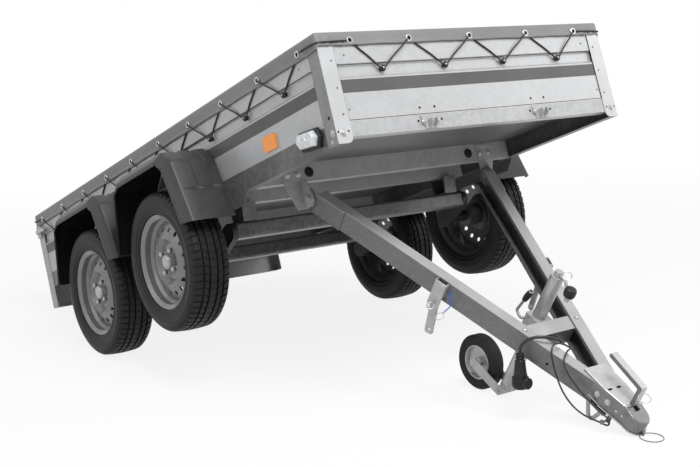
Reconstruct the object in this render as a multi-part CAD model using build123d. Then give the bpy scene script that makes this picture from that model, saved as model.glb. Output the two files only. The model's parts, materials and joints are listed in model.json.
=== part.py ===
"""Twin-axle tipping box trailer with a flat laced cover, standing with its bed tipped back."""

from build123d import *
from math import asin, atan, atan2, cos, degrees, hypot, radians, sin, tan
import os

os.makedirs("parts", exist_ok=True)

# Driving dimensions in millimetres and degrees.
# Bed frame: x forward from the front face, y to the left, z up from the foot of the front posts.
BED_TILT = 18.1
BED_LENGTH = 2610.0
BED_WIDTH = 1290.0
FRAME_DEPTH = 70.0
FRAME_FLANGE = 40.0
FRAME_SHEET = 3.0
REAR_BEAM_AHEAD = 480.0
FLOOR_SHEET = 12.0
WALL_TOP = 355.0
WALL_DEPTH = 20.0
WALL_SHEET = 2.0
WALL_HEM = 24.0
GROOVE_LOW = 212.0
GROOVE_HIGH = 260.0
GROOVE_DEPTH = 8.0
POST_FLANGE = 60.0
POST_SHEET = 3.0
POST_TOP = 350.0
POST_CORNER = 22.0
FRONT_RAIL_DEPTH = 50.0

# Cover and the buttons that its lacing runs round.
COVER_SHEET = 2.5
COVER_EDGE = 319.0
COVER_GAP = 1.0
COVER_CORNER = 10.0
COVER_ROUND = 9.0
INNER_CORNER = 3.0
INNER_ROUND = 2.0
LACE_PITCH = 267.0
BUTTON_Z = 238.0
BUTTON_RADIUS = 11.0
BUTTON_DEPTH = 12.0
SIDE_BUTTON_X = -245.0
FRONT_BUTTON_INSET = 241.0
FRONT_BUTTONS = 4

# Tail with its lamps, bumpers, gate hinges and latches.
TAIL_DROP = 100.0
TAIL_LIP = 25.0
GATE_GAP = 6.0
GATE_AXIS_BACK = 12.0
GATE_AXIS_Z = 79.0
GATE_PIN_RADIUS = 6.0
KNUCKLE_RADIUS = 9.0
KNUCKLE_LENGTH = 60.0
KNUCKLE_INSET = 179.0
KNUCKLE_GAP = 1.0
LEAF_SHEET = 3.0
LEAF_HEIGHT = 62.0
LUG_SHEET = 6.0
LUG_DEPTH = 55.0
RUN_GAP = 0.1
LAMP_INSET = 175.0
LAMP_LENGTH = 200.0
LAMP_HEIGHT = 90.0
LAMP_DEPTH = 20.0
LAMP_Z = -22.0
LAMP_CORNER = 10.0
BUMPER_RADIUS = 22.0
BUMPER_LENGTH = 24.0
BUMPER_INSET = 40.0
BUMPER_UP = 4.0
LATCH_AHEAD = 8.0
LATCH_WIDTH = 44.0
LATCH_HEIGHT = 56.0
LATCH_BELOW = 44.0
LATCH_PLATE = 10.0
LEVER_LENGTH = 94.0
LEVER_HEIGHT = 18.0
LEVER_SHEET = 12.0
LEVER_ROUND = 5.0

# Marker lamps and reflectors on the sides.
MARKER_X = -156.0
MARKER_Z = 57.0
MARKER_LENGTH = 88.0
MARKER_HEIGHT = 54.0
MARKER_BASE = 25.0
MARKER_CORNER = 8.0
LENS_DEPTH = 22.0
LENS_INSET = 6.0
LENS_BEVEL = 7.0
REFLECTOR_X = -387.0
REFLECTOR_Z = 112.0
REFLECTOR_LENGTH = 78.0
REFLECTOR_HEIGHT = 52.0
REFLECTOR_DEPTH = 8.0
REFLECTOR_CORNER = 5.0

# Running gear: wheels stand out from the bed's side by an offset.
TYRE_RADIUS = 267.0
TYRE_WIDTH = 157.0
TREAD_WIDTH = 126.0
SHOULDER_DROP = 20.0
BEAD_TUCK = 9.0
BEAD_GAP = 0.2
RIM_RADIUS = 180.0
RIM_SEAT = 165.0
RIM_WELL = 150.0
RIM_HALF = 64.0
RIM_SHEET = 4.0
RIM_FLANGE = 9.0
RIM_LEDGE = 22.0
RIM_STEP = 12.0
DISC_FACE = 25.0
DISC_FLAT = 70.0
DISC_RING = 88.0
DISC_RISE = 21.0
VENT_COUNT = 16
VENT_RADIUS = 9.0
VENT_CIRCLE = 121.0
BOLT_COUNT = 4
BOLT_CIRCLE = 50.0
BOLT_RADIUS = 9.5
BOLT_HEIGHT = 16.0
HUB_RADIUS = 46.0
HUB_FLANGE = 66.0
HUB_FLANGE_SHEET = 12.0
HUB_NOSE = 27.0
HUB_CLEAR = 2.0
HUB_CAP = 30.0
HUB_BACK = 56.0
CAP_BEVEL = 5.0
STUB_RADIUS = 17.0
STUB_END = 40.0
STUB_SHOULDER = 6.0
STUB_GAP = 4.0
WHEEL_OFFSET = 100.0
WHEEL_Z = -155.0
WHEELS_BEHIND_MIDDLE = 57.5
GUARD_SPACE = 29.0
AXLE_AHEAD = 130.0
AXLE_Z = -100.0
AXLE_BAR = 60.0
AXLE_WALL = 5.0
AXLE_CORNER = 10.0
AXLE_INSET = 85.0
ARM_SHEET = 24.0
ARM_RADIUS = 36.0
HANGER_INSET = 60.0
HANGER_WIDTH = 60.0
HANGER_TOP = 100.0
HANGER_FOOT = 76.0
HANGER_SHEET = 6.0

# Mudguards: outline about the wheel's x, with z in the bed frame.
GUARD_SHEET = 3.0
GUARD_WIDTH = 203.0
GUARD_SKIRT = 44.0
GUARD_BEVEL = 28.0
GUARD_FOOT = (318.0, -65.0)
GUARD_SHOULDER = (244.0, 176.0)
GUARD_CROWN = (186.0, 222.0)
GUARD_RIBS = (52.0, 114.0)
RIB_WIDTH = 26.0
RIB_DEPTH = 1.2
RIB_END_Z = 50.0
PLATE_REACH = 130.0
PLATE_LOW = -45.0
PLATE_SLANT = 60.0
PLATE_END = 44.0

# Drawbar frame: u forward from the tilt hinge, y to the left, w up.
HINGE_X = -540.0
HINGE_Z = -72.0
HINGE_BEAM_BACK = 35.0
HINGE_INSET = 221.0
WING_TOP_GAP = 8.0
WING_WIDTH = 76.0
WING_FOOT = 40.0
CHEEK_DROP = 28.0
CHEEK_AHEAD = 26.0
CHEEK_CORNER = 16.0
CHEEK_GAP = 2.0
CHEEK_SHEET = 5.0
TILT_PIN_RADIUS = 8.0
TILT_PIN_TAIL = 12.0
PIN_HEAD = 6.0
PIN_HEAD_DEPTH = 9.0
EAR_SHEET = 6.0
EAR_BEND_U = 25.0
EAR_TAIL = 120.0
RAIL_SLOPE = 0.334
RAIL_HEIGHT = 78.0
RAIL_FLANGE = 45.0
RAIL_LIP = 12.0
RAIL_SHEET = 3.0
RAIL_END_Y = 47.0
BRIDGE_BEHIND = 283.7
BRIDGE_WIDTH = 60.0
BRIDGE_DEPTH = 62.0
CATCH_Y = 256.0
CATCH_WIDTH = 80.0
CATCH_HEIGHT = 44.0
CATCH_SHEET = 4.0
CATCH_SLANT = 14.0
CATCH_REACH = 26.0
CATCH_JAW = 16.0
CATCH_JAW_SHEET = 6.0

# Coupling over the ends of the rails, with the foot below it.
COUPLER_OVERLAP = 69.0
COUPLER_SLEEVE = 105.0
COUPLER_WIDTH = 104.0
COUPLER_TOP = 46.0
COUPLER_SHEET = 5.0
COUPLER_ROUND = 8.0
NOSE_REACH = 112.0
NOSE_RADIUS = 38.0
NOSE_NECK = 20.0
NOSE_UNDER = -20.0
NOSE_FALL = 20.0
NOSE_LIP = 4.0
RING_RADIUS = 37.0
RING_WIRE = 1.8
RING_LUG = 14.0
RING_LUG_SHEET = 4.0
RING_HOLE = 2.7
RING_LEAN = 4.0
CUP_WALL = 9.0
BALL_W = -4.0
BALL_RADIUS = 25.2
HANDLE_BACK = 182.0
HANDLE_ROOT = 40.0
HANDLE_RISE = 62.0
HANDLE_SLOPE = 14.0
HANDLE_WIDTH = 26.0
HANDLE_DEPTH = 14.0
HANDLE_SHEET = 4.0
HANDLE_ROUND = 5.0
HOOK_BACK = 62.0
HOOK_DROP = 28.0
HOOK_ROD = 4.0
HOOK_LENGTH = 30.0
FOOT_AHEAD = 71.3
FOOT_W = -109.0
FOOT_ROD = 7.0
FOOT_BEND = 14.0
FOOT_CORNER = 31.6
FOOT_LEG_BACK = 60.0
FOOT_LEG_AHEAD = 36.0
FOOT_PAD_EDGE = 24.0
FOOT_PAD_HALF = 44.0
FOOT_PAD_SHEET = 6.0

# Tilt locks on the outer faces of the rails.
LOCK_U = 566.0
LOCK_WIDTH = 46.0
LOCK_TOP = 34.0
LOCK_LOW = -64.0
LOCK_CHEEK_LOW = -20.0
LOCK_REACH = 20.0
LOCK_SHEET = 4.0
LOCK_PIN_W = -50.0
LOCK_PIN = 5.0
LOCK_PIN_IN = -10.0
LOCK_PIN_OUT = 28.0
LOCK_BAR_OUT = 6.0
LOCK_BAR_SHEET = 6.0
LOCK_BAR_WIDTH = 32.0
LOCK_BAR_LENGTH = 148.0
LOCK_BAR_LEAN = 8.7
LOCK_BAR_HOLE = 6.0

# Jockey wheel.
CLAMP_REACH = 34.0
CLAMP_WALL = 7.0
CLAMP_HALF = 36.0
CLAMP_LOW = -22.0
CLAMP_TOP = 26.0
CLAMP_ROUND = 6.0
CLAMP_ROD = 5.0
CLAMP_SCREW_BACK = 21.0
CLAMP_SCREW_W = 10.0
CLAMP_ARM_OUT = 26.0
CLAMP_ARM_BACK = 29.0
CLAMP_ARM_RISE = 14.0
CLAMP_GRIP_BACK = 5.0
CLAMP_GRIP_TOP = 115.0
CLAMP_GRIP = 8.5
CLAMP_GRIP_LENGTH = 46.0
JOCKEY_TUBE = 24.0
JOCKEY_TUBE_SHEET = 2.5
JOCKEY_INNER = 20.0
JOCKEY_INNER_SHEET = 3.0
JOCKEY_TOP = 200.0
JOCKEY_LID = 8.0
JOCKEY_COLLAR = 22.0
JOCKEY_SOLE = 14.0
JOCKEY_RUNOUT = 30.0
JOCKEY_ARM = 146.0
JOCKEY_TYRE = 100.0
JOCKEY_TYRE_WIDTH = 50.0
JOCKEY_TYRE_ROUND = 9.0
JOCKEY_RIM = 62.0
JOCKEY_BEAD = 4.0
JOCKEY_DISC = 6.0
JOCKEY_HUB = 17.0
JOCKEY_HUB_HALF = 28.0
JOCKEY_AXLE = 8.0
JOCKEY_PIN = 7.0
JOCKEY_PIN_HEAD = 6.0
FORK_GAP = 8.0
FORK_SHEET = 5.0
FORK_WIDTH = 34.0
CRANK_CAP = 14.0
CRANK_CAP_HEIGHT = 18.0
CRANK_ROD = 6.0
CRANK_REACH = 72.0
CRANK_FALL = 52.0
KNOB_RADIUS = 19.0
KNOB_STEM = 9.0
KNOB_HEIGHT = 44.0
KNOB_HEAD = 28.0
KNOB_ROUND = 8.0

# Plug, cables and lanyard: diameters, and routes as (u, y, w) in the drawbar frame.
TOW_CABLE = 11.0
SAFETY_CABLE = 6.0
LANYARD = 4.0
PLUG_NECK = 17.0
PLUG_BODY = 24.0
PLUG_HEAD = 28.0
PLUG_NECK_LENGTH = 26.0
PLUG_BODY_LENGTH = 52.0
PLUG_HEAD_LENGTH = 44.0
PLUG_NECK_TAPER = 3.0
PLUG_EDGE = 10.0
PLUG_LEAD = 18.0
PLUG_CAP_GAP = 4.0
PLUG_CAP_REACH = 40.0
PLUG_TOP = (910.0, -160.0, -14.0)
TOW_END = (-24.0, 20.0)
TOW_ROUTE = [
    (917, -24, 20), (933, -27, 28), (944, -36, 40), (948, -52, 51), (946, -71, 59), (939, -91, 62),
    (929, -111, 61), (918, -130, 55), (909, -146, 42), (903, -157, 24),
]
SAFETY_ENDS = ((14.0, 2.0), (-4.0, 14.0))
SAFETY_ROUTE = [
    (922, 14, 2), (948, 9, 11), (971, -3, 26), (988, -23, 42), (1000, -46, 55), (1011, -70, 61),
    (1024, -92, 56), (1043, -107, 41), (1072, -98, 18), (1108, -84, -3), (1146, -71, -17),
    (1180, -63, -25), (1209, -57, -29), (1230, -53, -27.5), (1242, -53, -27), (1252, -53, -31),
    (1256, -53, -40), (1252, -53, -49), (1241, -54, -54), (1222, -56, -60), (1195, -61, -71),
    (1162, -68, -79), (1128, -77, -77), (1096, -88, -63), (1069, -99, -42), (1046, -108, -17),
    (1027, -116, 8), (1010, -122, 31), (994, -123, 51), (980, -113, 64), (973, -95, 67),
    (972, -74, 63), (972, -53, 54), (967, -32, 41), (954, -14, 27), (930, -4, 14),
]
LANYARD_U = 604.0
LANYARD_W = 8.0
LANYARD_LEAD = 11.0
LANYARD_ROUTE = [
    (613.5, -249, 13), (624, -253, 15), (634, -252, 8), (638.5, -250, -6), (636, -249, -23),
    (629, -250, -42), (622, -251, -60),
]
BEND_SHARE = 0.45

# Values that follow from the ones above.
OUTER_Y = BED_WIDTH / 2
SKIN_Y = OUTER_Y - POST_SHEET
INNER_Y = SKIN_Y - WALL_DEPTH
SKIN_FRONT = -POST_SHEET
SKIN_BACK = POST_SHEET - BED_LENGTH
BEAM_HALF = SKIN_Y - FRAME_FLANGE
FLOOR_TOP = FRAME_DEPTH + FLOOR_SHEET
WHEEL_Y = OUTER_Y + WHEEL_OFFSET
AXLE_HALF = OUTER_Y - AXLE_INSET
wheel_spacing = 2 * GUARD_FOOT[0] + GUARD_SPACE
FRONT_WHEEL_X = (wheel_spacing - BED_LENGTH) / 2 - WHEELS_BEHIND_MIDDLE
REAR_WHEEL_X = FRONT_WHEEL_X - wheel_spacing
FRONT_AXLE_X = FRONT_WHEEL_X + AXLE_AHEAD
REAR_AXLE_X = REAR_WHEEL_X + AXLE_AHEAD
GUARD_OUTER_Y = OUTER_Y + GUARD_WIDTH
GATE_HALF = OUTER_Y - POST_FLANGE - GATE_GAP
GATE_TOP = COVER_EDGE - GATE_GAP
GATE_LOW = FLOOR_TOP + GATE_GAP
GATE_AXIS_X = SKIN_BACK - GATE_AXIS_BACK
KNUCKLE_Y = GATE_HALF - KNUCKLE_INSET
HINGE_BEAM_X = HINGE_X - HINGE_BEAM_BACK
EAR_Y = OUTER_Y - HINGE_INSET
CHEEK_Y = EAR_Y + EAR_SHEET + CHEEK_GAP
RAIL_ANGLE = degrees(atan(RAIL_SLOPE))
RAIL_END_U = EAR_BEND_U + (EAR_Y - RAIL_END_Y) / RAIL_SLOPE
BRIDGE_FRONT = RAIL_END_U - BRIDGE_BEHIND + BRIDGE_WIDTH / 2
BRIDGE_BACK = BRIDGE_FRONT - BRIDGE_WIDTH
COUPLER_BACK = RAIL_END_U - COUPLER_OVERLAP
COUPLER_SHOULDER = COUPLER_BACK + COUPLER_SLEEVE
BALL_U = COUPLER_SHOULDER + NOSE_REACH
FOOT_U = COUPLER_BACK + FOOT_AHEAD
JOCKEY_U = BRIDGE_BACK - CLAMP_REACH

# Poses: the rear wheels, the foot and the jockey wheel stand on the floor.
tilt = radians(BED_TILT)
BED = Pos(0, 0, TYRE_RADIUS) * Rot(0, -BED_TILT, 0) * Pos(-REAR_WHEEL_X, 0, -WHEEL_Z)
reach = HINGE_X - REAR_WHEEL_X
rise = HINGE_Z - WHEEL_Z
HINGE_FORWARD = reach * cos(tilt) - rise * sin(tilt)
HINGE_HEIGHT = TYRE_RADIUS + reach * sin(tilt) + rise * cos(tilt)
foot_reach = hypot(FOOT_U, FOOT_W)
foot_drop = HINGE_HEIGHT - FOOT_BEND - FOOT_ROD
DRAWBAR_DROP = degrees(asin(foot_drop / foot_reach) - atan2(-FOOT_W, FOOT_U))
drop = radians(DRAWBAR_DROP)
DRAWBAR = Pos(HINGE_FORWARD, 0, HINGE_HEIGHT) * Rot(0, DRAWBAR_DROP, 0)
JOCKEY_WHEEL_U = JOCKEY_U - JOCKEY_ARM
JOCKEY_W = (JOCKEY_TYRE - HINGE_HEIGHT + JOCKEY_WHEEL_U * sin(drop)) / cos(drop)

nodes = {}


def add(name, place, *shapes):
    """Keep one named piece, made of one or more solids, at its place."""
    nodes[name] = [place * solid for shape in shapes for solid in shape.solids()]


def both(shape):
    """A shape and its image on the other side of the trailer."""
    return [shape, mirror(shape, about=Plane.XZ)]


def folded(path, sheet):
    """Closed outline of sheet folded along a path, its thickness to the right of the path."""
    normals = []
    for (ax, ay), (bx, by) in zip(path, path[1:]):
        run = hypot(bx - ax, by - ay)
        normals.append(((by - ay) / run, (ax - bx) / run))
    inner = []
    for index, (x, y) in enumerate(path):
        nx, ny = normals[max(index - 1, 0)]
        mx, my = normals[min(index, len(normals) - 1)]
        scale = sheet / (1 + nx * mx + ny * my)
        inner.append((x + (nx + mx) * scale, y + (ny + my) * scale))
    return list(path) + inner[::-1]


def face(plane, points):
    """Flat face through the points of a closed outline."""
    return plane * make_face(Polyline(*points, close=True))


def channel(height, flange, sheet, lip=0.0):
    """Outline of a channel with its web on x = 0, open towards +x, centred on y = 0."""
    half = height / 2
    path = [(flange, -half), (0, -half), (0, half), (flange, half)]
    if lip:
        path = [(flange, lip - half)] + path + [(flange, half - lip)]
    return folded(path, sheet)


def block(x0, x1, y0, y1, z0, z1):
    """Box between two corners."""
    return Pos((x0 + x1) / 2, (y0 + y1) / 2, (z0 + z1) / 2) * Box(x1 - x0, y1 - y0, z1 - z0)


def rod(start, end, radius):
    """Round bar between two points."""
    axis = Vector(*end) - Vector(*start)
    return extrude(Plane(Vector(*start), z_dir=axis) * Circle(radius), amount=axis.length)


def across(x, z, radius, y0, y1):
    """Round bar along y."""
    return rod((x, y0, z), (x, y1, z), radius)


def swept(path, radius):
    """Round bar along a path."""
    return sweep(Plane(origin=path @ 0, z_dir=path % 0) * Circle(radius), path=path)


def spun(points):
    """Ring turned about y from an outline of radius and y."""
    return revolve(make_face(Polyline(*points, close=True)), Axis.Y)


def wall_path(low, high):
    """Outer line of a wall panel, as inset and height, with its groove and hems."""
    return [
        (WALL_DEPTH, low),
        (0, low),
        (0, GROOVE_LOW),
        (GROOVE_DEPTH, GROOVE_LOW + GROOVE_DEPTH),
        (GROOVE_DEPTH, GROOVE_HIGH - GROOVE_DEPTH),
        (0, GROOVE_HIGH),
        (0, high),
        (WALL_DEPTH, high),
        (WALL_DEPTH, high - WALL_HEM),
    ]


def guard_outline(inset, below):
    """Half outline of a mudguard moved in by an inset, its legs drawn on below the foot."""
    fx, fz = GUARD_FOOT
    sx, sz = GUARD_SHOULDER
    lean = (fx - sx) / (sz - fz)
    path = [(fx + below * lean, fz - below), GUARD_SHOULDER, GUARD_CROWN, (0, GUARD_CROWN[1])]
    return folded(path[::-1], inset)[len(path):] if inset else path


def guard_solid(inset, below, y0, y1):
    """Block inside a mudguard's outline between two planes across the trailer."""
    half = guard_outline(inset, below)
    points = half + [(-x, z) for x, z in half[::-1] if x > 1]
    return Pos(0, y1, 0) * extrude(face(Plane.XZ, points), amount=y1 - y0)


def rail_y(u):
    """Outer face of the left drawbar rail."""
    return EAR_Y - (u - EAR_BEND_U) * RAIL_SLOPE


def coupler_plan(inset):
    """Plan of the coupling moved in by an inset: a sleeve that narrows to a round nose."""
    wide = COUPLER_WIDTH / 2 - inset
    nose = NOSE_RADIUS - inset
    neck = BALL_U - NOSE_NECK
    half = [(COUPLER_BACK, wide), (COUPLER_SHOULDER, wide), (neck, nose), (BALL_U, nose)]
    plan = make_face(Polyline(*half, *[(u, -y) for u, y in half[::-1]], close=True))
    return plan + Pos(BALL_U, 0) * Circle(nose)


def coupler_solid(inset, low, top):
    """Block of the coupling's plan between two heights."""
    return Pos(0, 0, low) * extrude(coupler_plan(inset), amount=top - low)


def cord_tube(name, route, diameter):
    """Round cord along straight runs joined by arcs as large as the runs allow."""
    points = [Vector(*point) for point in route]
    radii = []
    for before, at, after in zip(points, points[1:], points[2:]):
        turn = (at - before).get_angle(after - at)
        shorter = min((at - before).length, (after - at).length)
        radii.append(BEND_SHARE * shorter / tan(radians(turn) / 2))
    path = FilletPolyline(*points, radius=radii)
    print(name, "length", round(path.length, 1), "radii", [round(radius) for radius in radii])
    return swept(path, diameter / 2)


# Floor and frame.
floor_back = SKIN_BACK + WALL_DEPTH + GATE_GAP
floor_front = SKIN_FRONT - WALL_DEPTH
add("bed_floor", BED, block(floor_back, floor_front, -INNER_Y, INNER_Y, FRAME_DEPTH, FLOOR_TOP))
frame_shape = channel(FRAME_DEPTH, FRAME_FLANGE, FRAME_SHEET)
outline = [(SKIN_Y - x, y + FRAME_DEPTH / 2) for x, y in frame_shape]
sill = Pos(SKIN_BACK, 0, 0) * extrude(face(Plane.YZ, outline), amount=BED_LENGTH - 2 * POST_SHEET)
add("frame_side_rails", BED, *both(sill))
beams = []
axle_lead = FRAME_FLANGE / 2
beam_faces = (HINGE_BEAM_X, FRONT_AXLE_X + axle_lead, REAR_AXLE_X + axle_lead, REAR_BEAM_AHEAD - BED_LENGTH)
for front_face in beam_faces:
    outline = [(front_face - x, y + FRAME_DEPTH / 2) for x, y in frame_shape]
    beams.append(extrude(face(Plane.XZ, outline), amount=BEAM_HALF, both=True))
add("frame_cross_members", BED, *beams)
front_mid = FRAME_DEPTH - FRONT_RAIL_DEPTH / 2
rail_shape = channel(FRONT_RAIL_DEPTH, FRAME_FLANGE, FRAME_SHEET)
outline = [(SKIN_FRONT - x, y + front_mid) for x, y in rail_shape]
add("frame_front_rail", BED, extrude(face(Plane.XZ, outline), amount=BEAM_HALF, both=True))

# Walls: the sides run the whole length, the front wall stands between them.
wall_shape = folded(wall_path(FRAME_DEPTH, WALL_TOP), WALL_SHEET)
outline = [(SKIN_Y - x, y) for x, y in wall_shape]
side = Pos(SKIN_BACK, 0, 0) * extrude(face(Plane.YZ, outline), amount=BED_LENGTH - 2 * POST_SHEET)
add("wall_left", BED, side)
add("wall_right", BED, mirror(side, about=Plane.XZ))
outline = [(SKIN_FRONT - x, y) for x, y in wall_shape]
add("wall_front", BED, extrude(face(Plane.XZ, outline), amount=INNER_Y, both=True))

# Corner posts: angles over the wall ends.
flank = block(-POST_FLANGE, 0, SKIN_Y, OUTER_Y, 0, POST_TOP)
brow = block(-POST_SHEET, 0, OUTER_Y - POST_FLANGE, SKIN_Y, 0, POST_TOP)
toe = brow.edges().filter_by(Axis.X).sort_by(lambda edge: edge.center().Y + edge.center().Z)[0]
add("corner_posts_front", BED, *both(flank + fillet(toe, POST_CORNER)))
back_flank = block(-BED_LENGTH, POST_FLANGE - BED_LENGTH, SKIN_Y, OUTER_Y, -TAIL_DROP, POST_TOP)
back_brow = block(-BED_LENGTH, SKIN_BACK, OUTER_Y - POST_FLANGE, SKIN_Y, FRAME_DEPTH, POST_TOP)
add("corner_posts_rear", BED, *both(back_flank + back_brow))

# Tail panel with its lamps, bumpers and gate hinge lugs.
panel_path = [
    (-BED_LENGTH + TAIL_LIP, -TAIL_DROP),
    (-BED_LENGTH, -TAIL_DROP),
    (-BED_LENGTH, FRAME_DEPTH - GATE_GAP),
]
panel = face(Plane.XZ, folded(panel_path, POST_SHEET))
add("tail_panel", BED, extrude(panel, amount=SKIN_Y, both=True))
lamp_place = Pos(-BED_LENGTH - LAMP_DEPTH / 2, OUTER_Y - LAMP_INSET, LAMP_Z)
lamp = lamp_place * Box(LAMP_DEPTH, LAMP_LENGTH, LAMP_HEIGHT)
add("tail_lamps", BED, *both(fillet(lamp.edges().filter_by(Axis.X), LAMP_CORNER)))
bumper_y = OUTER_Y - BUMPER_INSET
bumper_z = BUMPER_RADIUS - TAIL_DROP + BUMPER_UP
bumper_end = -BED_LENGTH - BUMPER_LENGTH
bumper = rod((-BED_LENGTH, bumper_y, bumper_z), (bumper_end, bumper_y, bumper_z), BUMPER_RADIUS)
add("tail_bumpers", BED, *both(bumper))
lugs = []
leaves = []
near = KNUCKLE_LENGTH / 2 + KNUCKLE_GAP
far = near + LUG_SHEET
lug_low = GATE_AXIS_Z - LUG_DEPTH
leaf_top = GATE_AXIS_Z + KNUCKLE_RADIUS
for middle in (-KNUCKLE_Y, 0.0, KNUCKLE_Y):
    lug = across(GATE_AXIS_X, GATE_AXIS_Z, GATE_PIN_RADIUS, middle - far, middle + far)
    for y0, y1 in ((middle - far, middle - near), (middle + near, middle + far)):
        lug += across(GATE_AXIS_X, GATE_AXIS_Z, KNUCKLE_RADIUS, y0, y1)
        lug += block(GATE_AXIS_X - KNUCKLE_RADIUS, -BED_LENGTH, y0, y1, lug_low, GATE_AXIS_Z)
    lugs.append(lug)
    y0 = middle - KNUCKLE_LENGTH / 2
    y1 = middle + KNUCKLE_LENGTH / 2
    leaf = across(GATE_AXIS_X, GATE_AXIS_Z, KNUCKLE_RADIUS, y0, y1)
    leaf += block(GATE_AXIS_X, SKIN_BACK, y0, y1, leaf_top - LEAF_SHEET, leaf_top)
    leaf += block(SKIN_BACK - LEAF_SHEET, SKIN_BACK, y0, y1, leaf_top - LEAF_SHEET, leaf_top + LEAF_HEIGHT)
    leaves.append(leaf - across(GATE_AXIS_X, GATE_AXIS_Z, GATE_PIN_RADIUS + RUN_GAP, y0, y1))
add("gate_hinge_lugs", BED, *lugs)

# Tailgate: a wall panel with knuckles that turn on the lugs' pins, and latches on the posts.
outline = [(SKIN_BACK + x, y) for x, y in folded(wall_path(GATE_LOW, GATE_TOP), WALL_SHEET)]
add("tailgate", BED, extrude(face(Plane.XZ, outline), amount=GATE_HALF, both=True))
add("tailgate_leaves", BED, *leaves)
latch_x = -BED_LENGTH + LATCH_AHEAD
latch_top = POST_TOP - LATCH_BELOW
latch_y = OUTER_Y + LATCH_PLATE
latch = block(latch_x, latch_x + LATCH_WIDTH, OUTER_Y, latch_y, latch_top - LATCH_HEIGHT, latch_top)
lever_x = latch_x + LATCH_AHEAD
lever_low = latch_top - (LATCH_HEIGHT + LEVER_HEIGHT) / 2
lever = block(lever_x, lever_x + LEVER_LENGTH, latch_y, latch_y + LEVER_SHEET,
              lever_low, lever_low + LEVER_HEIGHT)
add("gate_latches", BED, *both(latch + fillet(lever.edges().filter_by(Axis.Z), LEVER_ROUND)))

# Cover with its skirt, and the buttons its lacing runs round.
cover_y = OUTER_Y + COVER_GAP + COVER_SHEET
cover_x = COVER_GAP + COVER_SHEET
cover_top = WALL_TOP + COVER_GAP + COVER_SHEET
cover = block(-BED_LENGTH - cover_x, cover_x, -cover_y, cover_y, COVER_EDGE, cover_top)
cover = fillet(cover.edges().filter_by(Axis.Z), COVER_CORNER)
cover = fillet(cover.faces().sort_by(Axis.Z)[-1].edges(), COVER_ROUND)
hollow_y = cover_y - COVER_SHEET
hollow = block(-BED_LENGTH - COVER_GAP, COVER_GAP, -hollow_y, hollow_y,
               COVER_EDGE - 1, cover_top - COVER_SHEET)
hollow = fillet(hollow.edges().filter_by(Axis.Z), INNER_CORNER)
hollow = fillet(hollow.faces().sort_by(Axis.Z)[-1].edges(), INNER_ROUND)
add("cover", BED, cover - hollow)
buttons = []
groove_y = SKIN_Y - GROOVE_DEPTH
groove_x = SKIN_FRONT - GROOVE_DEPTH
side_buttons = 1 + int((BED_LENGTH - POST_FLANGE + SIDE_BUTTON_X) / LACE_PITCH)
for index in range(side_buttons):
    spot_x = SIDE_BUTTON_X - index * LACE_PITCH
    buttons += both(across(spot_x, BUTTON_Z, BUTTON_RADIUS, groove_y, groove_y + BUTTON_DEPTH))
button_y = OUTER_Y - FRONT_BUTTON_INSET
for index in range(FRONT_BUTTONS):
    spot_y = button_y * (2 * index / (FRONT_BUTTONS - 1) - 1)
    end = (groove_x + BUTTON_DEPTH, spot_y, BUTTON_Z)
    buttons.append(rod((groove_x, spot_y, BUTTON_Z), end, BUTTON_RADIUS))
add("lacing_buttons", BED, *buttons)

# Side lamps and reflectors.
half_x = MARKER_LENGTH / 2
half_z = MARKER_HEIGHT / 2
lens_y = SKIN_Y + MARKER_BASE
housing = block(MARKER_X - half_x, MARKER_X + half_x, SKIN_Y, lens_y, MARKER_Z - half_z, MARKER_Z + half_z)
add("marker_lamp_housings", BED, *both(fillet(housing.edges().filter_by(Axis.Y), MARKER_CORNER)))
half_x -= LENS_INSET
half_z -= LENS_INSET
lens = block(MARKER_X - half_x, MARKER_X + half_x, lens_y, lens_y + LENS_DEPTH,
             MARKER_Z - half_z, MARKER_Z + half_z)
lens = fillet(lens.edges().filter_by(Axis.Y), MARKER_CORNER)
lens = chamfer(lens.faces().sort_by(Axis.Y)[-1].edges(), LENS_BEVEL)
add("marker_lamp_lenses", BED, *both(lens))
half_x = REFLECTOR_LENGTH / 2
half_z = REFLECTOR_HEIGHT / 2
reflector = block(REFLECTOR_X - half_x, REFLECTOR_X + half_x, SKIN_Y, SKIN_Y + REFLECTOR_DEPTH,
                  REFLECTOR_Z - half_z, REFLECTOR_Z + half_z)
add("side_reflectors", BED, *both(fillet(reflector.edges().filter_by(Axis.Y), REFLECTOR_CORNER)))

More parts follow.
